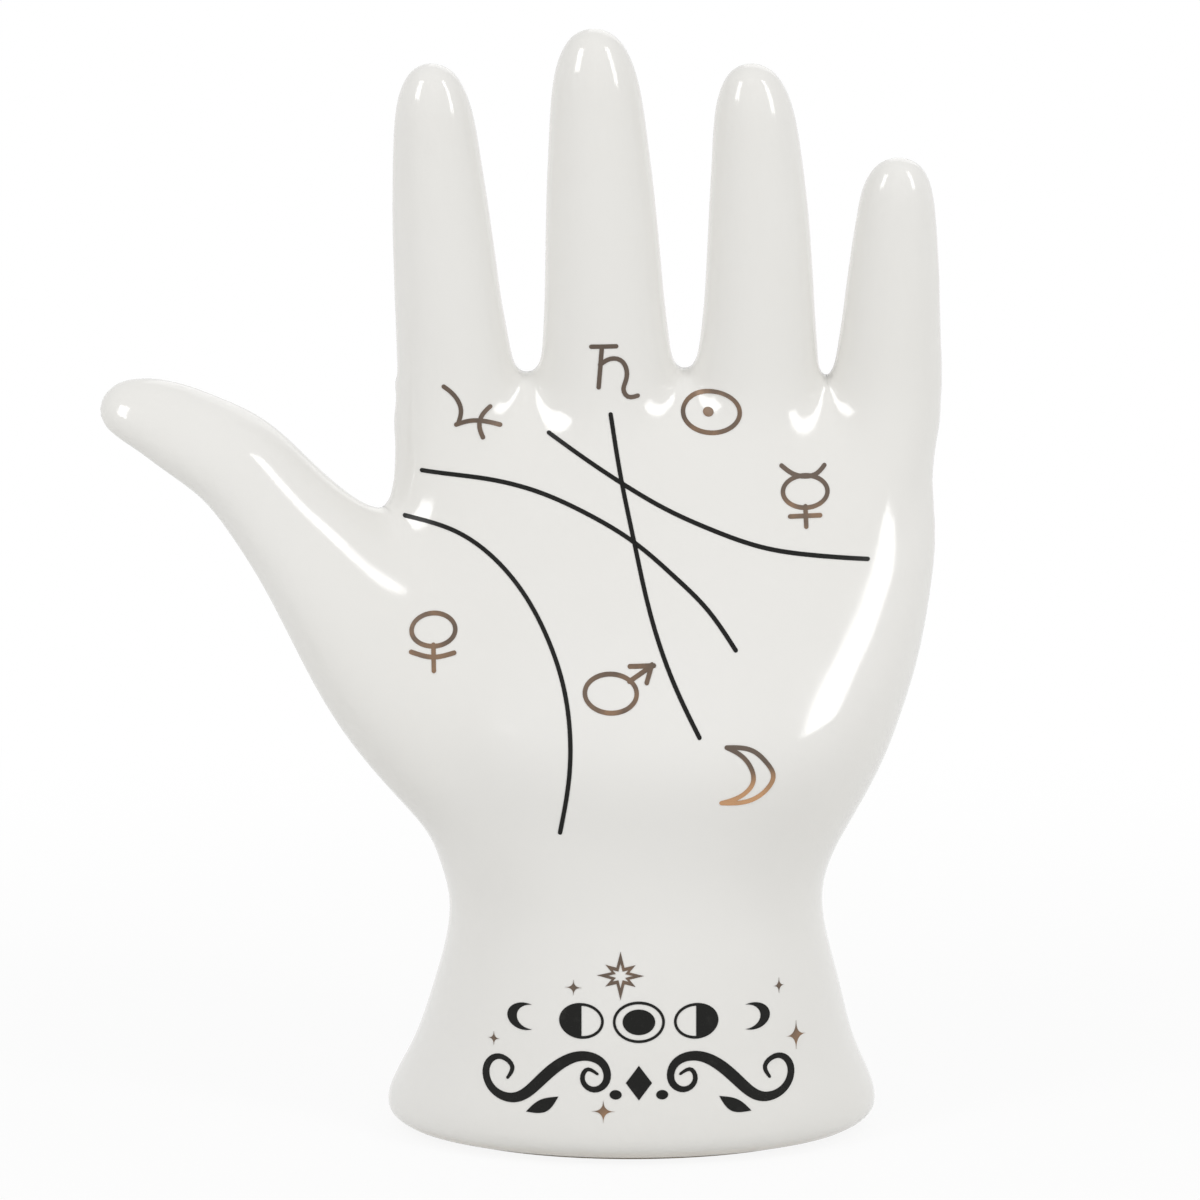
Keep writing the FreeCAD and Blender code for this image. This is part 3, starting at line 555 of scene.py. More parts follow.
def limb_tubes(form, inset=0.0):
    """Each limb as a closed tube of rings: middle + (half width cos t, half depth sin t), both less the
    inset, level for the trunk and fingers, square to the middle line and rolled for the thumb."""
    s = sizes()
    turn = np.linspace(0, 2 * np.pi, TUBE_SIDES, endpoint=False)
    tubes = []

    def ring_points(middles, side, ratio, depth_squared, roll=0.0):
        half_depth = np.sqrt(np.maximum(depth_squared, 0))
        along = np.cos(turn)[None, :] * np.maximum(half_depth / np.sqrt(ratio) - inset, 0)[:, None]
        across = np.sin(turn)[None, :] * np.maximum(half_depth - inset, 0)[:, None]
        sideways = along * math.cos(roll) - across * math.sin(roll)
        points = middles[:, None, :] + sideways[:, :, None] * side[:, None, :]
        points[:, :, 1] += along * math.sin(roll) + across * math.cos(roll)
        return points

    level = np.array([[1.0, 0.0, 0.0]])
    spans = [(form.trunk, TUBE_START, s.web_height)]
    for name, finger in zip(FINGER_SHARES, form.fingers):
        spans.append((finger, s.web_height - s.finger_root, s.web_height + getattr(s, f"{name}_length")))
    for limb, low, high in spans:
        height = np.linspace(low, high, TUBE_RINGS)
        across, back, ratio, depth_squared = limb(height).T
        middles = np.column_stack([across, back, height])
        tubes.append(ring_points(middles, np.repeat(level, len(height), 0), ratio, depth_squared))
    run = np.linspace(0, form.thumb_length, TUBE_RINGS)
    spots, ahead = form.thumb_line(run), form.thumb_line(run + form.SLOPE_STEP)
    direction = (ahead - spots) / np.linalg.norm(ahead - spots, axis=1)[:, None]
    _, back, ratio, depth_squared = form.thumb(run).T
    middles = np.column_stack([spots[:, 0], back, spots[:, 1]])
    side = np.column_stack([direction[:, 1], 0 * run, -direction[:, 0]])
    tubes.append(ring_points(middles, side, ratio, depth_squared, THUMB_ROLL))
    return tubes


def capped(tubes):
    """Points and faces of the tubes, each closed at both ends by a fan to the middle of its last ring."""
    points, faces, start = [], [], 0
    for tube in tubes:
        ends = [np.repeat(tube[end].mean(axis=0)[None, None, :], tube.shape[1], axis=1) for end in (0, -1)]
        whole = np.concatenate([ends[0], tube, ends[1]])
        whole = np.concatenate([whole, whole[:, :1]], axis=1)
        points.append(whole.reshape(-1, 3))
        faces.append(grid_faces(whole.shape[0], whole.shape[1], start))
        start += whole.shape[0] * whole.shape[1]
    return np.concatenate(points), np.concatenate(faces)


def one_skin(tubes, grain):
    """Mesh of the outside of the tubes as one skin of even cells."""
    rough = mesh_object("limb_tubes", *capped(tubes))
    closed_up(rough)
    remesh = rough.modifiers.new("melt", "REMESH")
    remesh.mode = "VOXEL"
    remesh.voxel_size = grain
    remesh.adaptivity = 0
    mesh = bpy.data.meshes.new_from_object(rough.evaluated_get(bpy.context.evaluated_depsgraph_get()))
    bpy.data.objects.remove(rough)
    return mesh


def melted_skin(form, depth=0.0):
    """Mesh of the whole hand, the given depth under the glaze. Six limbs melted together have no one pair of
    parameters, so their tubes are remeshed as one and every point is moved down the field's slope."""
    mesh = one_skin(limb_tubes(form), sizes().grain)
    points = np.empty(len(mesh.vertices) * 3)
    mesh.vertices.foreach_get("co", points)
    edges = np.empty(len(mesh.edges) * 2, int)
    mesh.edges.foreach_get("vertices", edges)
    moved = settled(form, depth, points.reshape(-1, 3), edges.reshape(-1, 2))
    mesh.vertices.foreach_set("co", moved.ravel())
    mesh.update()
    return mesh


def cut_level(mesh, height, close=False):
    """Takes away what lies under the given height, and with close fills the cut."""
    shell = bmesh.new()
    shell.from_mesh(mesh)
    parts = shell.verts[:] + shell.edges[:] + shell.faces[:]
    bmesh.ops.bisect_plane(shell, geom=parts, plane_co=(0, 0, height), plane_no=(0, 0, 1), clear_inner=True)
    if close:
        bmesh.ops.holes_fill(shell, edges=[edge for edge in shell.edges if edge.is_boundary])
    shell.to_mesh(mesh)
    shell.free()


def settled(form, depth, points, edges):
    """Points moved to the given depth under the form's skin. Each round evens them out along the skin, by
    part of the way to the mean of their neighbours less its share along the slope, then steps by - (field +
    depth) slope over slope squared, no more than LONGEST_STEP."""
    counts = np.bincount(edges.ravel(), minlength=len(points))[:, None]
    for spread in EVENING_SHARES:
        value, slope = form(points)[:, None] + depth, form.slope(points)
        steep = (slope ** 2).sum(axis=1)[:, None]
        total = np.zeros_like(points)
        for start, end in ((0, 1), (1, 0)):
            for axis in range(3):
                far_end = points[edges[:, end], axis]
                total[:, axis] += np.bincount(edges[:, start], far_end, minlength=len(points))
        drift = (total / counts - points) * spread
        drift -= slope * (drift * slope).sum(axis=1)[:, None] / steep
        push = value * slope / steep
        push /= np.maximum(1, np.linalg.norm(push, axis=1)[:, None] / LONGEST_STEP)
        points = points + drift - push
    return points


def glazed_skin(form):
    """The glaze coat: the melted skin above the glaze line, with a real thickness inwards."""
    mesh = melted_skin(form)
    cut_level(mesh, sizes().glaze_line)
    skin = bpy.data.objects.new("glazed_skin", mesh)
    bpy.context.scene.collection.objects.link(skin)
    skin.data.shade_smooth()
    wall = skin.modifiers.new("glaze_thickness", "SOLIDIFY")
    wall.thickness = sizes().glaze_thickness
    wall.offset = -1
    return skin


def plug(name, half_width, half_depth, low, high):
    """A closed upright elliptical plug under the foot: rings of (half width cos t, half depth sin t)."""
    turn = np.linspace(0, 2 * np.pi, CIRCLE_POINTS, endpoint=False)
    outline = np.column_stack([np.cos(turn) * half_width, np.sin(turn) * half_depth])
    tube = np.stack([np.column_stack([outline, np.full(len(turn), height)]) for height in (low, high)])
    piece = mesh_object(name, *capped([tube]))
    closed_up(piece)
    return piece


def cast_body(form):
    """The fired casting: the hand just under the glaze, cut flat at the foot, less its hollow, the recess
    under the foot and the vent hole."""
    s = sizes()
    skin = melted_skin(form, s.glaze_thickness)
    cut_level(skin, 0.0, close=True)
    hollow = one_skin(limb_tubes(form, s.glaze_thickness + s.wall), HOLLOW_GRAIN_SHARE * s.grain)
    cut_level(hollow, s.foot_recess + s.wall, close=True)
    _, _, _, wide, _, deep = TRUNK_SHARES[0]
    rough = bpy.data.objects.new("rough_casting", skin)
    inside = bpy.data.objects.new("hollow", hollow)
    for thing in (rough, inside):
        bpy.context.scene.collection.objects.link(thing)
        closed_up(thing)
    recess_width = wide * s.foot_width / 2 - s.foot_ring
    recess_depth = deep * s.foot_depth / 2 - s.foot_ring
    tools = [
        inside,
        plug("recess", recess_width, recess_depth, -s.foot_recess, s.foot_recess),
        plug("vent", s.vent_radius, s.vent_radius, -s.foot_recess, s.foot_recess + 2 * s.wall),
    ]
    for tool in tools:
        carve = rough.modifiers.new(tool.name, "BOOLEAN")
        carve.operation, carve.solver, carve.object = "DIFFERENCE", "EXACT", tool
    mesh = bpy.data.meshes.new_from_object(rough.evaluated_get(bpy.context.evaluated_depsgraph_get()))
    for thing in tools + [rough]:
        bpy.data.objects.remove(thing)
    casting = bpy.data.objects.new("bisque_casting", mesh)
    bpy.context.scene.collection.objects.link(casting)
    mesh.shade_smooth()
    mesh.set_sharp_from_angle(angle=SHARP_EDGE)
    return casting


def stroke(points, widths):
    """Two edges of a brush stroke: a spline through the points, moved sideways by half its width each way.
    Its ends are round: past each end the half width falls as the height of a half circle."""
    points, widths = np.array(points, float), np.array(widths, float)
    knots = np.concatenate([[0.0], np.cumsum(np.hypot(*np.diff(points, axis=0).T))])
    line = through(knots, np.column_stack([points, widths / 2]))
    length = knots[-1]
    turn = np.linspace(0, np.pi / 2, STROKE_END_POINTS)
    radii = widths[[0, -1]] / 2
    inner = np.linspace(0, length, max(int(length / STROKE_STEP), LEAST_STROKE_STEPS))
    run = np.concatenate([-radii[0] * np.cos(turn), inner[1:-1], length + radii[1] * np.cos(turn[::-1])])
    half = np.concatenate([radii[0] * np.sin(turn), line(inner[1:-1])[:, 2], radii[1] * np.sin(turn[::-1])])
    spots = line(run)[:, :2]
    ahead = line(run + DIRECTION_STEP)[:, :2] - spots
    side = np.column_stack([-ahead[:, 1], ahead[:, 0]]) / np.linalg.norm(ahead, axis=1)[:, None]
    return spots + side * half[:, None], spots - side * half[:, None], False


def oval(middle, half_width, half_height, start=0.0, end=2 * np.pi, count=OVAL_POINTS):
    """Places round an upright ellipse between two angles counted from the right-hand side."""
    turn = np.linspace(start, end, count)
    return np.array(middle) + np.column_stack([np.cos(turn) * half_width, np.sin(turn) * half_height])


def ring(middle, half_width, half_height, line):
    """Two edges of an elliptical ring whose stroke is centred on the given half sizes."""
    edges = []
    for side in (line / 2, -line / 2):
        edges.append(oval(middle, half_width + side, half_height + side)[:-1])
    return edges[0], edges[1], True


def disc(middle, half_width, half_height):
    """Two edges of a filled ellipse: its upper and its lower half, from left to right."""
    upper = oval(middle, half_width, half_height, np.pi, 0.0, ARC_POINTS)
    lower = oval(middle, half_width, half_height, np.pi, 2 * np.pi, ARC_POINTS)
    return upper, lower, False


def crescent(middle, half_width, half_height, side):
    """Two edges of a crescent that looks away from the middle of the row: the disc's outer arc, and the arc
    of a smaller disc, shifted inwards, between the points where the two outlines cross. On a unit disc those
    lie at x = (bite^2 - 1 - shift^2) / (2 shift)."""
    shift, bite = CRESCENT_SHIFT_SHARE, CRESCENT_BITE_SHARE
    cross = (bite ** 2 - 1 - shift ** 2) / (2 * shift)
    high = math.sqrt(1 - cross ** 2)
    outer, inner = math.atan2(high, cross), math.atan2(high, cross + shift)
    arcs = []
    for turn, size, moved in ((outer, 1.0, 0.0), (inner, bite, shift)):
        arc = oval((0, 0), size, size, turn, -turn, ARC_POINTS) - (moved, 0)
        arcs.append(np.array(middle) + arc * (side * half_width, half_height))
    return arcs[0], arcs[1], False


def half_moon(middle, half_width, half_height, side):
    """Two edges of a half disc: the upright diameter and the half ellipse that looks outwards."""
    arc = oval((0, 0), side * half_width, half_height, np.pi / 2, -np.pi / 2, ARC_POINTS)
    return np.array(middle) + arc * (0, 1), np.array(middle) + arc, False


def filled(outline):
    """Two edges of a shape without a long axis: its closed outline and its middle."""
    middle = outline.mean(axis=0)
    return outline, np.repeat(middle[None, :], len(outline), axis=0), True


def with_steps(corners):
    """A closed outline with straight sides, each cut into equal steps."""
    share = np.arange(SIDE_STEPS)[None, :, None] / SIDE_STEPS
    after = np.roll(corners, -1, axis=0)
    return (corners[:, None, :] * (1 - share) + after[:, None, :] * share).reshape(-1, 2)


def star_outline(middle, height):
    """The eight-pointed star's outline: one quarter turned into the other three."""
    quarter = np.array(STAR_QUARTER_SHARES + ((0.0, STAR_QUARTER_SHARES[0][0]),))
    corners = []
    for side, rise, order in ((1, 1, 1), (-1, 1, -1), (-1, -1, 1), (1, -1, -1)):
        corners.append((quarter * (side, rise))[::order][:-1])
    return with_steps(np.array(middle) + np.concatenate(corners) * height)


def leaf(stalk, below, point, above):
    """Two edges of a leaf: arcs from stalk to point, each through the spot on its side."""
    run = np.linspace(0, 1, LEAF_POINTS)
    edges = []
    for side in (above, below):
        edges.append(through([0.0, 0.5, 1.0], [stalk, side, point])(run))
    return edges[0], edges[1], False


def sparkle_outline(middle, half_width, half_height):
    """A four-pointed star with hollow sides: half sizes times cos t and sin t, each to a high power."""
    turn = np.linspace(0, 2 * np.pi, SPARKLE_POINTS, endpoint=False)
    wave = np.column_stack([np.cos(turn), np.sin(turn)])
    hollow = np.sign(wave) * np.abs(wave) ** SPARKLE_HOLLOWNESS
    return np.array(middle) + hollow * (half_width, half_height)


def film(form, name, patches):
    """A fired print: each patch is the band between two edges of flat artwork, carried on to the glaze and
    given a thickness there. A point between the edges a and b is (1 - v) a + v b, so the band is a grid on u
    along the edges and v across. Its top stands print_thickness above the glaze, its underside is sunk into
    it, and walls join the two. A later patch stands a hair higher than the one it crosses."""
    height = sizes().print_thickness
    across = np.linspace(0, 1, FILM_COLUMNS)[None, :, None]
    points, faces, start = [], [], 0
    for number, (first, second, joined) in enumerate(patches):
        flat = first[:, None, :] * (1 - across) + second[:, None, :] * across
        rows, columns = flat.shape[:2]
        count = rows * columns
        places, outward = form.carried_to(flat.reshape(-1, 2))
        top = places + outward * height * (1 + FILM_STEP_SHARE * number)
        points += [top, places - outward * height * FILM_SINK_SHARE]
        faces.append(grid_faces(rows, columns, start, joined))
        faces.append(grid_faces(rows, columns, start + count, joined)[:, ::-1])
        edge = np.arange(rows) * columns
        rims = [edge, edge + columns - 1]
        if not joined:
            rims += [np.arange(columns), (rows - 1) * columns + np.arange(columns)]
        for rim in rims:
            after = np.roll(rim, -1) if joined else rim[1:]
            before = rim if joined else rim[:-1]
            faces.append(start + np.column_stack([before, after, after + count, before + count]))
        start += 2 * count
    piece = mesh_object(name, np.concatenate(points), np.concatenate(faces))
    closed_up(piece)
    piece.data.shade_smooth()
    piece.data.set_sharp_from_angle(angle=SHARP_EDGE)
    return piece


class Value:
    """A shader socket that can stand in sums and products: each adds a Math node"""

    def __init__(self, finish, socket):
        self.finish, self.socket = finish, socket

    def math(self, operation, first, second):
        """A Math node's result."""
        return self.finish.node("ShaderNodeMath", {"operation": operation}, {0: first, 1: second})

    def larger(self, other):
        """The larger of the two."""
        return self.math("MAXIMUM", self, other)

    def __add__(self, other):
        return self.math("ADD", self, other)

    def __sub__(self, other):
        return self.math("SUBTRACT", self, other)

    def __mul__(self, other):
        return self.math("MULTIPLY", self, other)

    def __rsub__(self, other):
        return self.math("SUBTRACT", other, self)

    __radd__ = __add__
    __rmul__ = __mul__


class Finish:
    """A node tree under construction, of a material or of the world"""

    def __init__(self, owner):
        owner.use_nodes = True
        self.owner, self.tree = owner, owner.node_tree
        self.tree.nodes.clear()

    def node(self, kind, settings, inputs, outlet=0):
        """A node of the given kind: its settings first, then the values or links of its sockets."""
        made = self.tree.nodes.new(kind)
        for key, value in settings.items():
            setattr(made, key, value)
        for key, value in inputs.items():
            if isinstance(value, Value):
                self.tree.links.new(value.socket, made.inputs[key])
            else:
                made.inputs[key].default_value = value
        return Value(self, made.outputs[outlet])

    def place(self):
        """Object coordinates."""
        return self.node("ShaderNodeTexCoord", {}, {}, "Object")

    def height(self):
        """Height above the table."""
        return self.node("ShaderNodeSeparateXYZ", {}, {0: self.place()}, 2)

    def noise(self, scale, detail=2.0, distortion=0.0):
        """Cloudy noise from 0 to 1, with scale cells to the metre."""
        inputs = {"Vector": self.place(), "Scale": scale, "Detail": detail, "Distortion": distortion}
        return self.node("ShaderNodeTexNoise", {}, inputs, 0)

    def ramp(self, value, low, high, start=0.0, end=1.0):
        """Eased change from start to end as the value goes from low to high."""
        inputs = {"Value": value, "From Min": low, "From Max": high, "To Min": start, "To Max": end}
        return self.node("ShaderNodeMapRange", {"interpolation_type": "SMOOTHSTEP"}, inputs)

    def between(self, share, first, second):
        """A colour the given share of the way from the first to the second."""
        inputs = {0: share, 6: shade(first), 7: shade(second)}
        return self.node("ShaderNodeMix", {"data_type": "RGBA"}, inputs, 2)

    def bump(self, height, distance, normal=None):
        """A Bump node's normal, for a height from 0 to 1 that stands for the given real distance."""
        inputs = {"Height": height, "Distance": distance}
        if normal:
            inputs["Normal"] = normal
        return self.node("ShaderNodeBump", {}, inputs)

    def surface(self, **inputs):
        """The Principled surface, linked to the output; an underscore in a name stands for a space."""
        named = {key.replace("_", " "): value for key, value in inputs.items()}
        return self.output(self.node("ShaderNodeBsdfPrincipled", {}, named))

    def output(self, shader, kind="ShaderNodeOutputMaterial"):
        """Ends the tree and hands back the material or world it belongs to."""
        end = self.tree.nodes.new(kind)
        self.tree.links.new(shader.socket, end.inputs["Surface"])
        return self.owner


def shade(value):
    """A socket's value, or a colour with its alpha."""
    return value if isinstance(value, Value) else (*value, 1.0)


# Relief of the finishes: how high the ripple and the orange peel of the glaze, the grain of the clay and the
# unevenness of the prints stand. Then how far the thin glaze reaches above its wiped edge, how ragged it is,
# and how strongly glaze and enamel reflect
RIPPLE_HEIGHT = 0.25 * MM
PEEL_HEIGHT = 0.004 * MM
GRAIN_HEIGHT = 0.08 * MM
ENAMEL_HEIGHT = 0.01 * MM
LUSTRE_HEIGHT = 0.006 * MM
THIN_GLAZE_REACH = 3.0 * MM
THIN_GLAZE_RAGGEDNESS = 1.2 * MM
GLAZE_IOR = 1.5
ENAMEL_SHEEN = 0.15


def glaze_finish():
    """Clear glaze on white ware: faintly uneven in tint, a little warmer where it thins above its wiped edge,
    with the slow ripple and the fine orange peel of a dipped glaze."""
    finish = Finish(bpy.data.materials.new("clear_glaze_on_white"))
    c, edge = colours(), sizes().glaze_line
    cloud = finish.ramp(finish.noise(16.0, 3.0), 0.35, 0.65)
    tint = finish.between(cloud, c.glaze, c.glaze_shade)
    height = finish.height() + finish.noise(220.0) * THIN_GLAZE_RAGGEDNESS
    thin = finish.ramp(height, edge, edge + THIN_GLAZE_REACH, 0.55, 0.0)
    tint = finish.between(thin, tint, c.bisque)
    ripple = finish.bump(finish.noise(42.0, 1.0), RIPPLE_HEIGHT)
    peel = finish.bump(finish.noise(520.0, 2.0), PEEL_HEIGHT, ripple)
    gloss = finish.noise(60.0, 3.0) * 0.05 + 0.075
    return finish.surface(Base_Color=tint, Roughness=gloss, IOR=GLAZE_IOR, Normal=peel)


def bisque_finish():
    """Bare fired clay: warm, dry and grainy, with darker specks."""
    finish = Finish(bpy.data.materials.new("bare_bisque"))
    c = colours()
    grain = finish.noise(900.0, 4.0)
    specks = finish.ramp(finish.noise(2600.0, 1.0), 0.66, 0.72)
    tint = finish.between(finish.ramp(grain, 0.3, 0.7), c.bisque, [0.82 * part for part in c.bisque])
    tint = finish.between(specks, tint, [0.45 * part for part in c.bisque])
    relief = finish.bump(grain, GRAIN_HEIGHT)
    return finish.surface(Base_Color=tint, Roughness=grain * 0.2 + 0.72, Normal=relief)


def enamel_finish():
    """Black enamel fired on the glaze: nearly as glossy as it, a little thinner and browner in places."""
    finish = Finish(bpy.data.materials.new("black_print_enamel"))
    c = colours()
    worn = finish.ramp(finish.noise(420.0, 3.0), 0.55, 0.85, 0.0, 0.5)
    tint = finish.between(worn, c.enamel, [3.5 * part for part in c.enamel])
    gloss = finish.noise(900.0) * 0.12 + 0.20
    relief = finish.bump(finish.noise(1500.0), ENAMEL_HEIGHT)
    return finish.surface(Base_Color=tint, Roughness=gloss, Specular_IOR_Level=ENAMEL_SHEEN, Normal=relief)


def lustre_finish():
    """Copper lustre: dull brown as painted shade, bright metal as painted highlight where the painted
    highlight stored on the piece is high, under a random cloud of tone.
    """
    finish = Finish(bpy.data.materials.new("copper_lustre_print"))
    c = colours()
    painted_sheen = finish.node("ShaderNodeAttribute", {"attribute_name": "painted_sheen"}, {}, "Fac")
    cloud = finish.noise(240.0, 3.0) - 0.5
    bright = finish.ramp(painted_sheen + cloud * 0.6, 0.1, 0.9)
    tint = finish.between(bright, c.painted_lustre_shade, c.lustre)
    metal, gloss = bright * 0.6 + 0.3, 0.42 - bright * 0.17
    relief = finish.bump(finish.noise(1800.0), LUSTRE_HEIGHT)
    return finish.surface(Base_Color=tint, Metallic=metal, Roughness=gloss, Normal=relief)


def print_finish(name, make):
    """A print's finish, made the first time that it is asked for."""
    return bpy.data.materials.get(name) or make()


def black_enamel():
    """The finish of the palm lines and the cuff ornament."""
    return print_finish("black_print_enamel", enamel_finish)


def copper_lustre():
    """The finish of the planet signs and the stars."""
    return print_finish("copper_lustre_print", lustre_finish)


def seen_share(finish):
    """1 for what is seen directly, in a reflection or through glass, and 0 for light on the object."""
    kinds = ("Camera", "Glossy", "Transmission")
    seen, mirrored, shone_through = [
        finish.node("ShaderNodeLightPath", {}, {}, f"Is {kind} Ray") for kind in kinds
    ]
    return seen.larger(mirrored).larger(shone_through)


# Studio: the floor's colour, between which distances from the hand it turns from a share of glow to clear
# white, its size, and the light of the world. Then where the camera looks, how far it stands off, how high,
# its lens, and each lamp's bearing from the front (positive to the right), elevation, distance, width, height
# and power
WHITE = (1.0, 1.0, 1.0)
FLOOR_WHITE = (0.80, 0.80, 0.79)
FLOOR_FADE = (0.06, 0.45)
FLOOR_GLOW_SHARE = 0.90
FLOOR_RADIUS = 4.0
FLOOR_RINGS = 12
WORLD_LIGHT = 0.61
VIEW_CENTRE = (-6.637 * MM, 0.0, 109.57 * MM)
VIEW_DISTANCE = 1.0
VIEW_ELEVATION = math.radians(9.0)
LENS = 147.0
LAMP_CENTRE = (0.0, 0.0, 0.12)
LAMPS = {
    "right_soft_box": (52.0, 31.0, 0.85, 0.16, 0.56, 2.1),
    "left_soft_box": (-50.0, 31.0, 0.85, 0.22, 0.40, 1.9),
    "back_fill": (165.0, 40.0, 1.4, 0.9, 0.9, 1.6),
}


def floor_finish():
    """White studio floor: it takes the hand's soft shadow near by and fades to clear white further out."""
    finish = Finish(bpy.data.materials.new("studio_floor_white"))
    spread = finish.node("ShaderNodeVectorMath", {"operation": "LENGTH"}, {0: finish.place()}, "Value")
    far = finish.ramp(spread, *FLOOR_FADE, FLOOR_GLOW_SHARE, 1.0) * seen_share(finish)
    near = finish.node("ShaderNodeBsdfDiffuse", {}, {"Color": shade(FLOOR_WHITE)})
    white = finish.node("ShaderNodeEmission", {}, {"Color": shade(WHITE), "Strength": 1.0})
    return finish.output(finish.node("ShaderNodeMixShader", {}, {0: far, 1: near, 2: white}))


def studio_world():
    """White for what is seen, an even soft light for what is lit."""
    finish = Finish(bpy.data.worlds.new("studio_world"))
    lit = finish.node("ShaderNodeBackground", {}, {"Color": shade(WHITE), "Strength": WORLD_LIGHT})
    seen = finish.node("ShaderNodeBackground", {}, {"Color": shade(WHITE), "Strength": 1.0})
    both = finish.node("ShaderNodeMixShader", {}, {0: seen_share(finish), 1: lit, 2: seen})
    return finish.output(both, "ShaderNodeOutputWorld")


def dress(piece, material, node_name):
    """Gives a new piece its finish and its body, and hides the CAD node it stands for."""
    piece.data.materials.clear()
    piece.data.materials.append(material)
    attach(piece, BODY)
    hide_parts(node_name)


def paint_sheen(piece, share):
    """Stores the painted highlight of the lustre at each point: eased from the foot of the piece to its head.
    """
    points = np.empty(len(piece.data.vertices) * 3)
    piece.data.vertices.foreach_get("co", points)
    height = points[2::3]
    rise = (height - height.min()) / (height.max() - height.min())
    low, high = share
    painted_sheen = piece.data.attributes.new("painted_sheen", "FLOAT", "POINT")
    painted_sheen.data.foreach_set("value", low + (high - low) * rise ** 2 * (3 - 2 * rise))


class HAND_OT_clay_body(bpy.types.Operator):
    """Casts the hollow clay body with its foot ring and vent hole"""

    bl_idname = "hand.clay_body"
    bl_label = "Clay body"

    def execute(self, context):
        dress(cast_body(HandForm()), bisque_finish(), "ceramic_body")
        return {"FINISHED"}


class HAND_OT_glaze(bpy.types.Operator):
    """Lays the glaze skin over the casting"""

    bl_idname = "hand.glaze"
    bl_label = "Glaze skin"

    def execute(self, context):
        dress(glazed_skin(HandForm()), glaze_finish(), "glaze_coat")
        return {"FINISHED"}


class HAND_OT_palm_lines(bpy.types.Operator):
    """Prints the heart, head, fate and life lines"""

    bl_idname = "hand.palm_lines"
    bl_label = "Palm lines"

    def execute(self, context):
        s, form = sizes(), HandForm()
        for name, places in PALM_LINE_SHARES.items():
            points = np.array(places) * (s.palm_width, s.web_height)
            piece = film(form, f"printed_{name}", [stroke(points, [s.palm_line] * len(points))])
            dress(piece, black_enamel(), name)
        return {"FINISHED"}


class HAND_OT_planet_signs(bpy.types.Operator):
    """Prints the seven planet signs"""

    bl_idname = "hand.planet_signs"
    bl_label = "Planet signs"

    def execute(self, context):
        s, form = sizes(), HandForm()
        unit, line = s.sign_height, s.sign_line
        for name, (place, rings, dots, strokes) in SIGN_SHARES.items():
            middle = np.array(place) * (s.palm_width, s.web_height)
            patches = []
            for spot, half in rings:
                patches.append(ring(middle + np.array(spot) * unit, half[0] * unit, half[1] * unit, line))
            for spot, half in dots:
                patches.append(disc(middle + np.array(spot) * unit, half[0] * unit, half[1] * unit))
            for points in strokes:
                patches.append(stroke(middle + np.array(points) * unit, [line] * len(points)))
            piece = film(form, f"printed_{name}", patches)
            paint_sheen(piece, PAINTED_SHEEN_SHARES[name])
            dress(piece, copper_lustre(), name)
        return {"FINISHED"}


class HAND_OT_stars(bpy.types.Operator):
    """Prints the eight-pointed star and the sparkles"""

    bl_idname = "hand.stars"
    bl_label = "Stars"

    def execute(self, context):
        s, form = sizes(), HandForm()
        scale = np.array((s.wrist_width, s.web_height))
        middle = np.array(STAR_PLACE_SHARES) * scale
        outlines = [star_outline(middle, s.star_height * share) for share in (1.0, STAR_HEART_SHARE)]
        name = "eight_pointed_star"
        stars = {name: ((*outlines, True), PAINTED_SHEEN_SHARES[name])}
        for number, (across, up, width, tall) in enumerate(SPARKLE_SHARES, start=1):
            half = np.array((width, tall)) * s.sparkle_height / 2
            outline = sparkle_outline(np.array((across, up)) * scale, *half)
            stars[f"sparkle_{number}"] = (filled(outline), SPARKLE_PAINTED_SHEEN_SHARES[number - 1])
        for name, (patch, share) in stars.items():
            piece = film(form, f"printed_{name}", [patch])
            paint_sheen(piece, share)
            dress(piece, copper_lustre(), name)
        return {"FINISHED"}


class HAND_OT_moon_phases(bpy.types.Operator):
    """Prints the row of moon phases on the cuff"""

    bl_idname = "hand.moon_phases"
    bl_label = "Moon phases"

    def execute(self, context):
        s, form = sizes(), HandForm()
        for number, share in enumerate(MOON_SIDE_SHARES):
            side = number - len(MOON_SIDE_SHARES) // 2
            across = (ORNAMENT_MIDDLE_SHARE + side * MOON_STEP_SHARE) * s.wrist_width
            middle = (across, MOON_ROW_SHARE * s.web_height)
            half_height = s.moon_height * share / 2
            half_width = half_height * MOON_STRETCH_SHARE
            if abs(side) == 2:
                patches = [crescent(middle, half_width, half_height, np.sign(side))]
            elif abs(side) == 1:
                lit = half_moon(middle, half_width, half_height, np.sign(side))
                patches = [ring(middle, half_width, half_height, s.hairline), lit]
            else:
                full = disc(middle, half_width * FULL_MOON_SHARE, half_height * FULL_MOON_SHARE)
                patches = [ring(middle, half_width, half_height, s.hairline), full]
            name = f"moon_phase_{number + 1}"
            dress(film(form, f"printed_{name}", patches), black_enamel(), name)
        return {"FINISHED"}


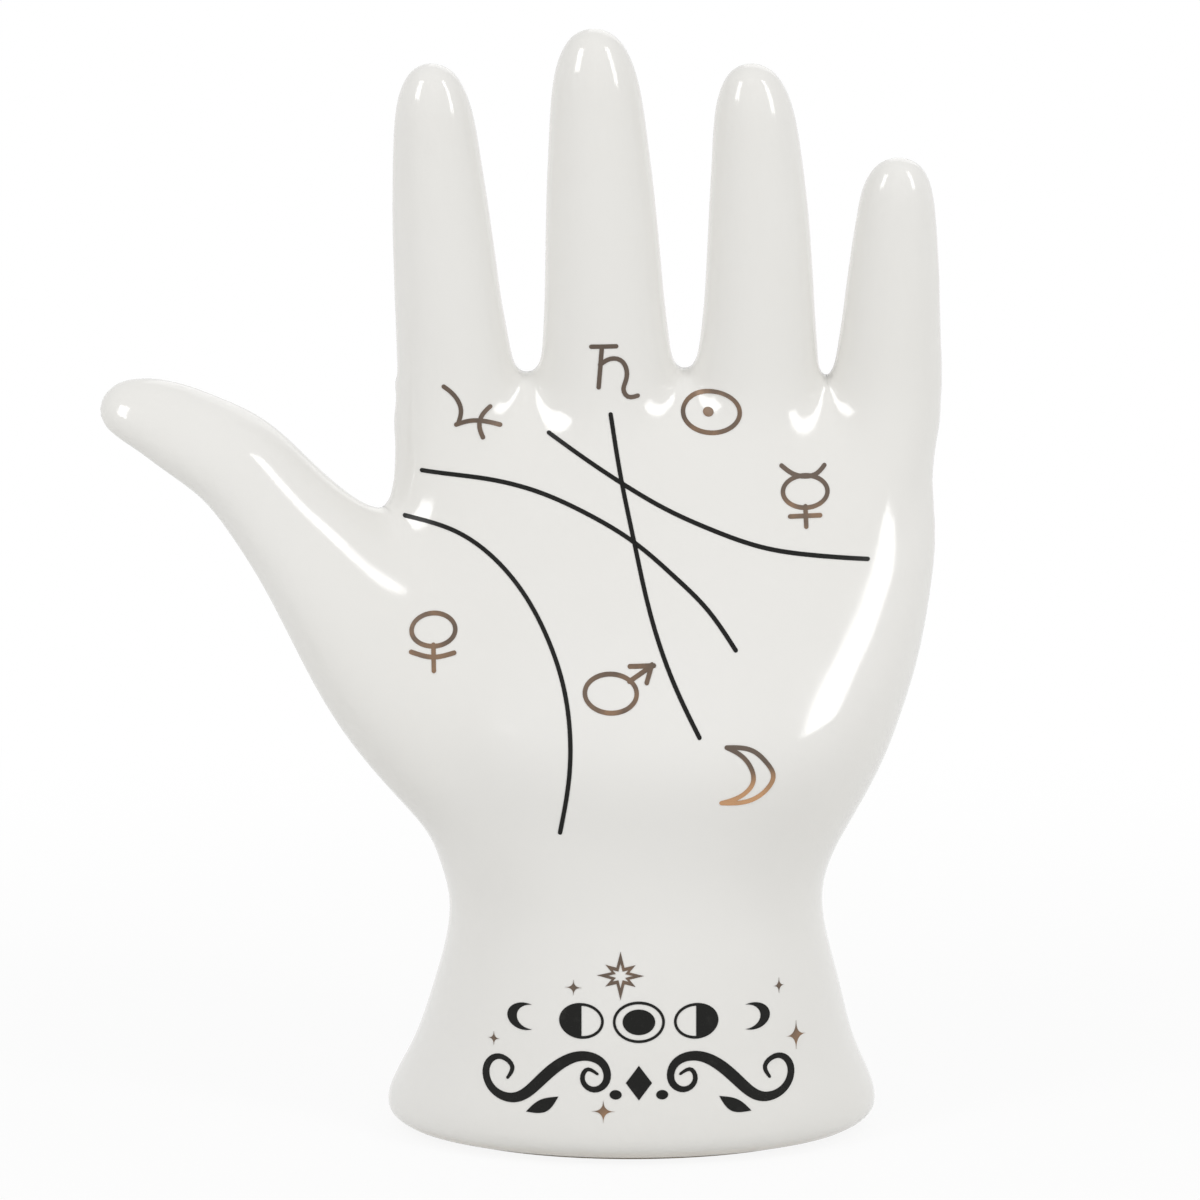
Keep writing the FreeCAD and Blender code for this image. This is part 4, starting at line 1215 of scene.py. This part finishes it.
class HAND_OT_scrolls(bpy.types.Operator):
    """Prints the scrolls, leaves, beads and lozenge on the cuff"""

    bl_idname = "hand.scrolls"
    bl_label = "Scrolls"

    def execute(self, context):
        s, form = sizes(), HandForm()
        middle = np.array((ORNAMENT_MIDDLE_SHARE * s.wrist_width, SCROLL_ROW_SHARE * s.web_height))
        unit = s.scroll_length
        table = np.array(SCROLL_SHARES)
        widths = s.hairline + (s.scroll_line - s.hairline) * table[:, 2]
        prints = {}
        for name, side in (("left", -1), ("right", 1)):
            turned = np.array((side * unit, unit))
            prints[f"scroll_{name}"] = stroke(middle + table[:, :2] * turned, widths)
            stalk, below, point, above = middle + np.array(LEAF_SHARES) * turned
            prints[f"leaf_{name}"] = leaf(stalk, below, point, above)
            across, up, radius = BEAD_SHARES
            bead = middle + np.array((across, up)) * turned
            prints[f"bead_{name}"] = disc(bead, radius * unit * MOON_STRETCH_SHARE, radius * unit)
        wide, tall = np.array(LOZENGE_SHARES) * unit
        corners = middle + np.array(((wide, 0), (0, tall), (-wide, 0), (0, -tall)))
        prints["lozenge"] = filled(with_steps(corners))
        for name, patch in prints.items():
            dress(film(form, f"printed_{name}", [patch]), black_enamel(), name)
        return {"FINISHED"}


def off_from(centre, bearing, elevation, distance):
    """A spot at a distance from a centre, by bearing from the front and elevation."""
    level = math.cos(elevation) * distance
    offset = (math.sin(bearing) * level, -math.cos(bearing) * level, math.sin(elevation) * distance)
    return Vector(centre) + Vector(offset)


def aimed(name, data, spot, centre):
    """A camera or lamp at a spot, looking at a centre."""
    thing = bpy.data.objects.new(name, data)
    thing.location = spot
    thing.rotation_euler = (Vector(centre) - spot).to_track_quat("-Z", "Y").to_euler()
    bpy.context.scene.collection.objects.link(thing)
    return thing


def round_floor():
    """A flat round floor at table height: (radius cos t, radius sin t), its rings wider apart further out."""
    turn = np.linspace(0, 2 * np.pi, CIRCLE_POINTS, endpoint=False)
    radii = FLOOR_RADIUS * np.linspace(0, 1, FLOOR_RINGS) ** 2
    points = np.zeros((len(turn), len(radii), 3))
    points[..., 0] = np.cos(turn)[:, None] * radii
    points[..., 1] = np.sin(turn)[:, None] * radii
    faces = grid_faces(len(turn), len(radii), joined=True)[:, ::-1]
    floor = mesh_object("studio_floor", points.reshape(-1, 3), faces)
    closed_up(floor)
    return floor


class HAND_OT_studio(bpy.types.Operator):
    """Sets up floor, world, lamps and camera"""

    bl_idname = "hand.studio"
    bl_label = "Studio"

    def execute(self, context):
        floor = round_floor()
        floor.data.materials.append(floor_finish())
        scene = context.scene
        scene.world = studio_world()
        for name, (bearing, elevation, distance, width, height, power) in LAMPS.items():
            lamp = bpy.data.lights.new(name, "AREA")
            lamp.shape, lamp.size, lamp.size_y, lamp.energy = "RECTANGLE", width, height, power
            spot = off_from(LAMP_CENTRE, math.radians(bearing), math.radians(elevation), distance)
            aimed(name, lamp, spot, LAMP_CENTRE).visible_camera = False
        camera = bpy.data.cameras.new("photo_camera")
        camera.lens = LENS
        spot = off_from(VIEW_CENTRE, 0.0, VIEW_ELEVATION, VIEW_DISTANCE)
        scene.camera = aimed("photo_camera", camera, spot, VIEW_CENTRE)
        scene.view_settings.view_transform = "Standard"
        return {"FINISHED"}


class HAND_PT_sidebar(bpy.types.Panel):
    """The hand's pieces, sizes and colours"""

    bl_label = "Palmistry Hand"
    bl_space_type = "VIEW_3D"
    bl_region_type = "UI"
    bl_category = "Palmistry Hand"

    def draw(self, context):
        for operator in OPERATORS:
            self.layout.operator(operator.bl_idname)
        for group in (context.scene.hand_sizes, context.scene.hand_colours):
            for key in group.__annotations__:
                self.layout.prop(group, key)


OPERATORS = (
    HAND_OT_studio, HAND_OT_clay_body, HAND_OT_glaze, HAND_OT_palm_lines, HAND_OT_planet_signs, HAND_OT_stars,
    HAND_OT_moon_phases, HAND_OT_scrolls,
)
CLASSES = (HandSizes, HandColours) + OPERATORS + (HAND_PT_sidebar,)


def register():
    for item in CLASSES:
        bpy.utils.register_class(item)
    bpy.types.Scene.hand_sizes = PointerProperty(type=HandSizes)
    bpy.types.Scene.hand_colours = PointerProperty(type=HandColours)


def unregister():
    del bpy.types.Scene.hand_sizes
    del bpy.types.Scene.hand_colours
    for item in reversed(CLASSES):
        bpy.utils.unregister_class(item)


def main():
    register()
    bpy.ops.hand.studio()
    bpy.ops.hand.clay_body()
    bpy.ops.hand.glaze()
    bpy.ops.hand.palm_lines()
    bpy.ops.hand.planet_signs()
    bpy.ops.hand.stars()
    bpy.ops.hand.moon_phases()
    bpy.ops.hand.scrolls()


if __name__ == "__main__":
    main()
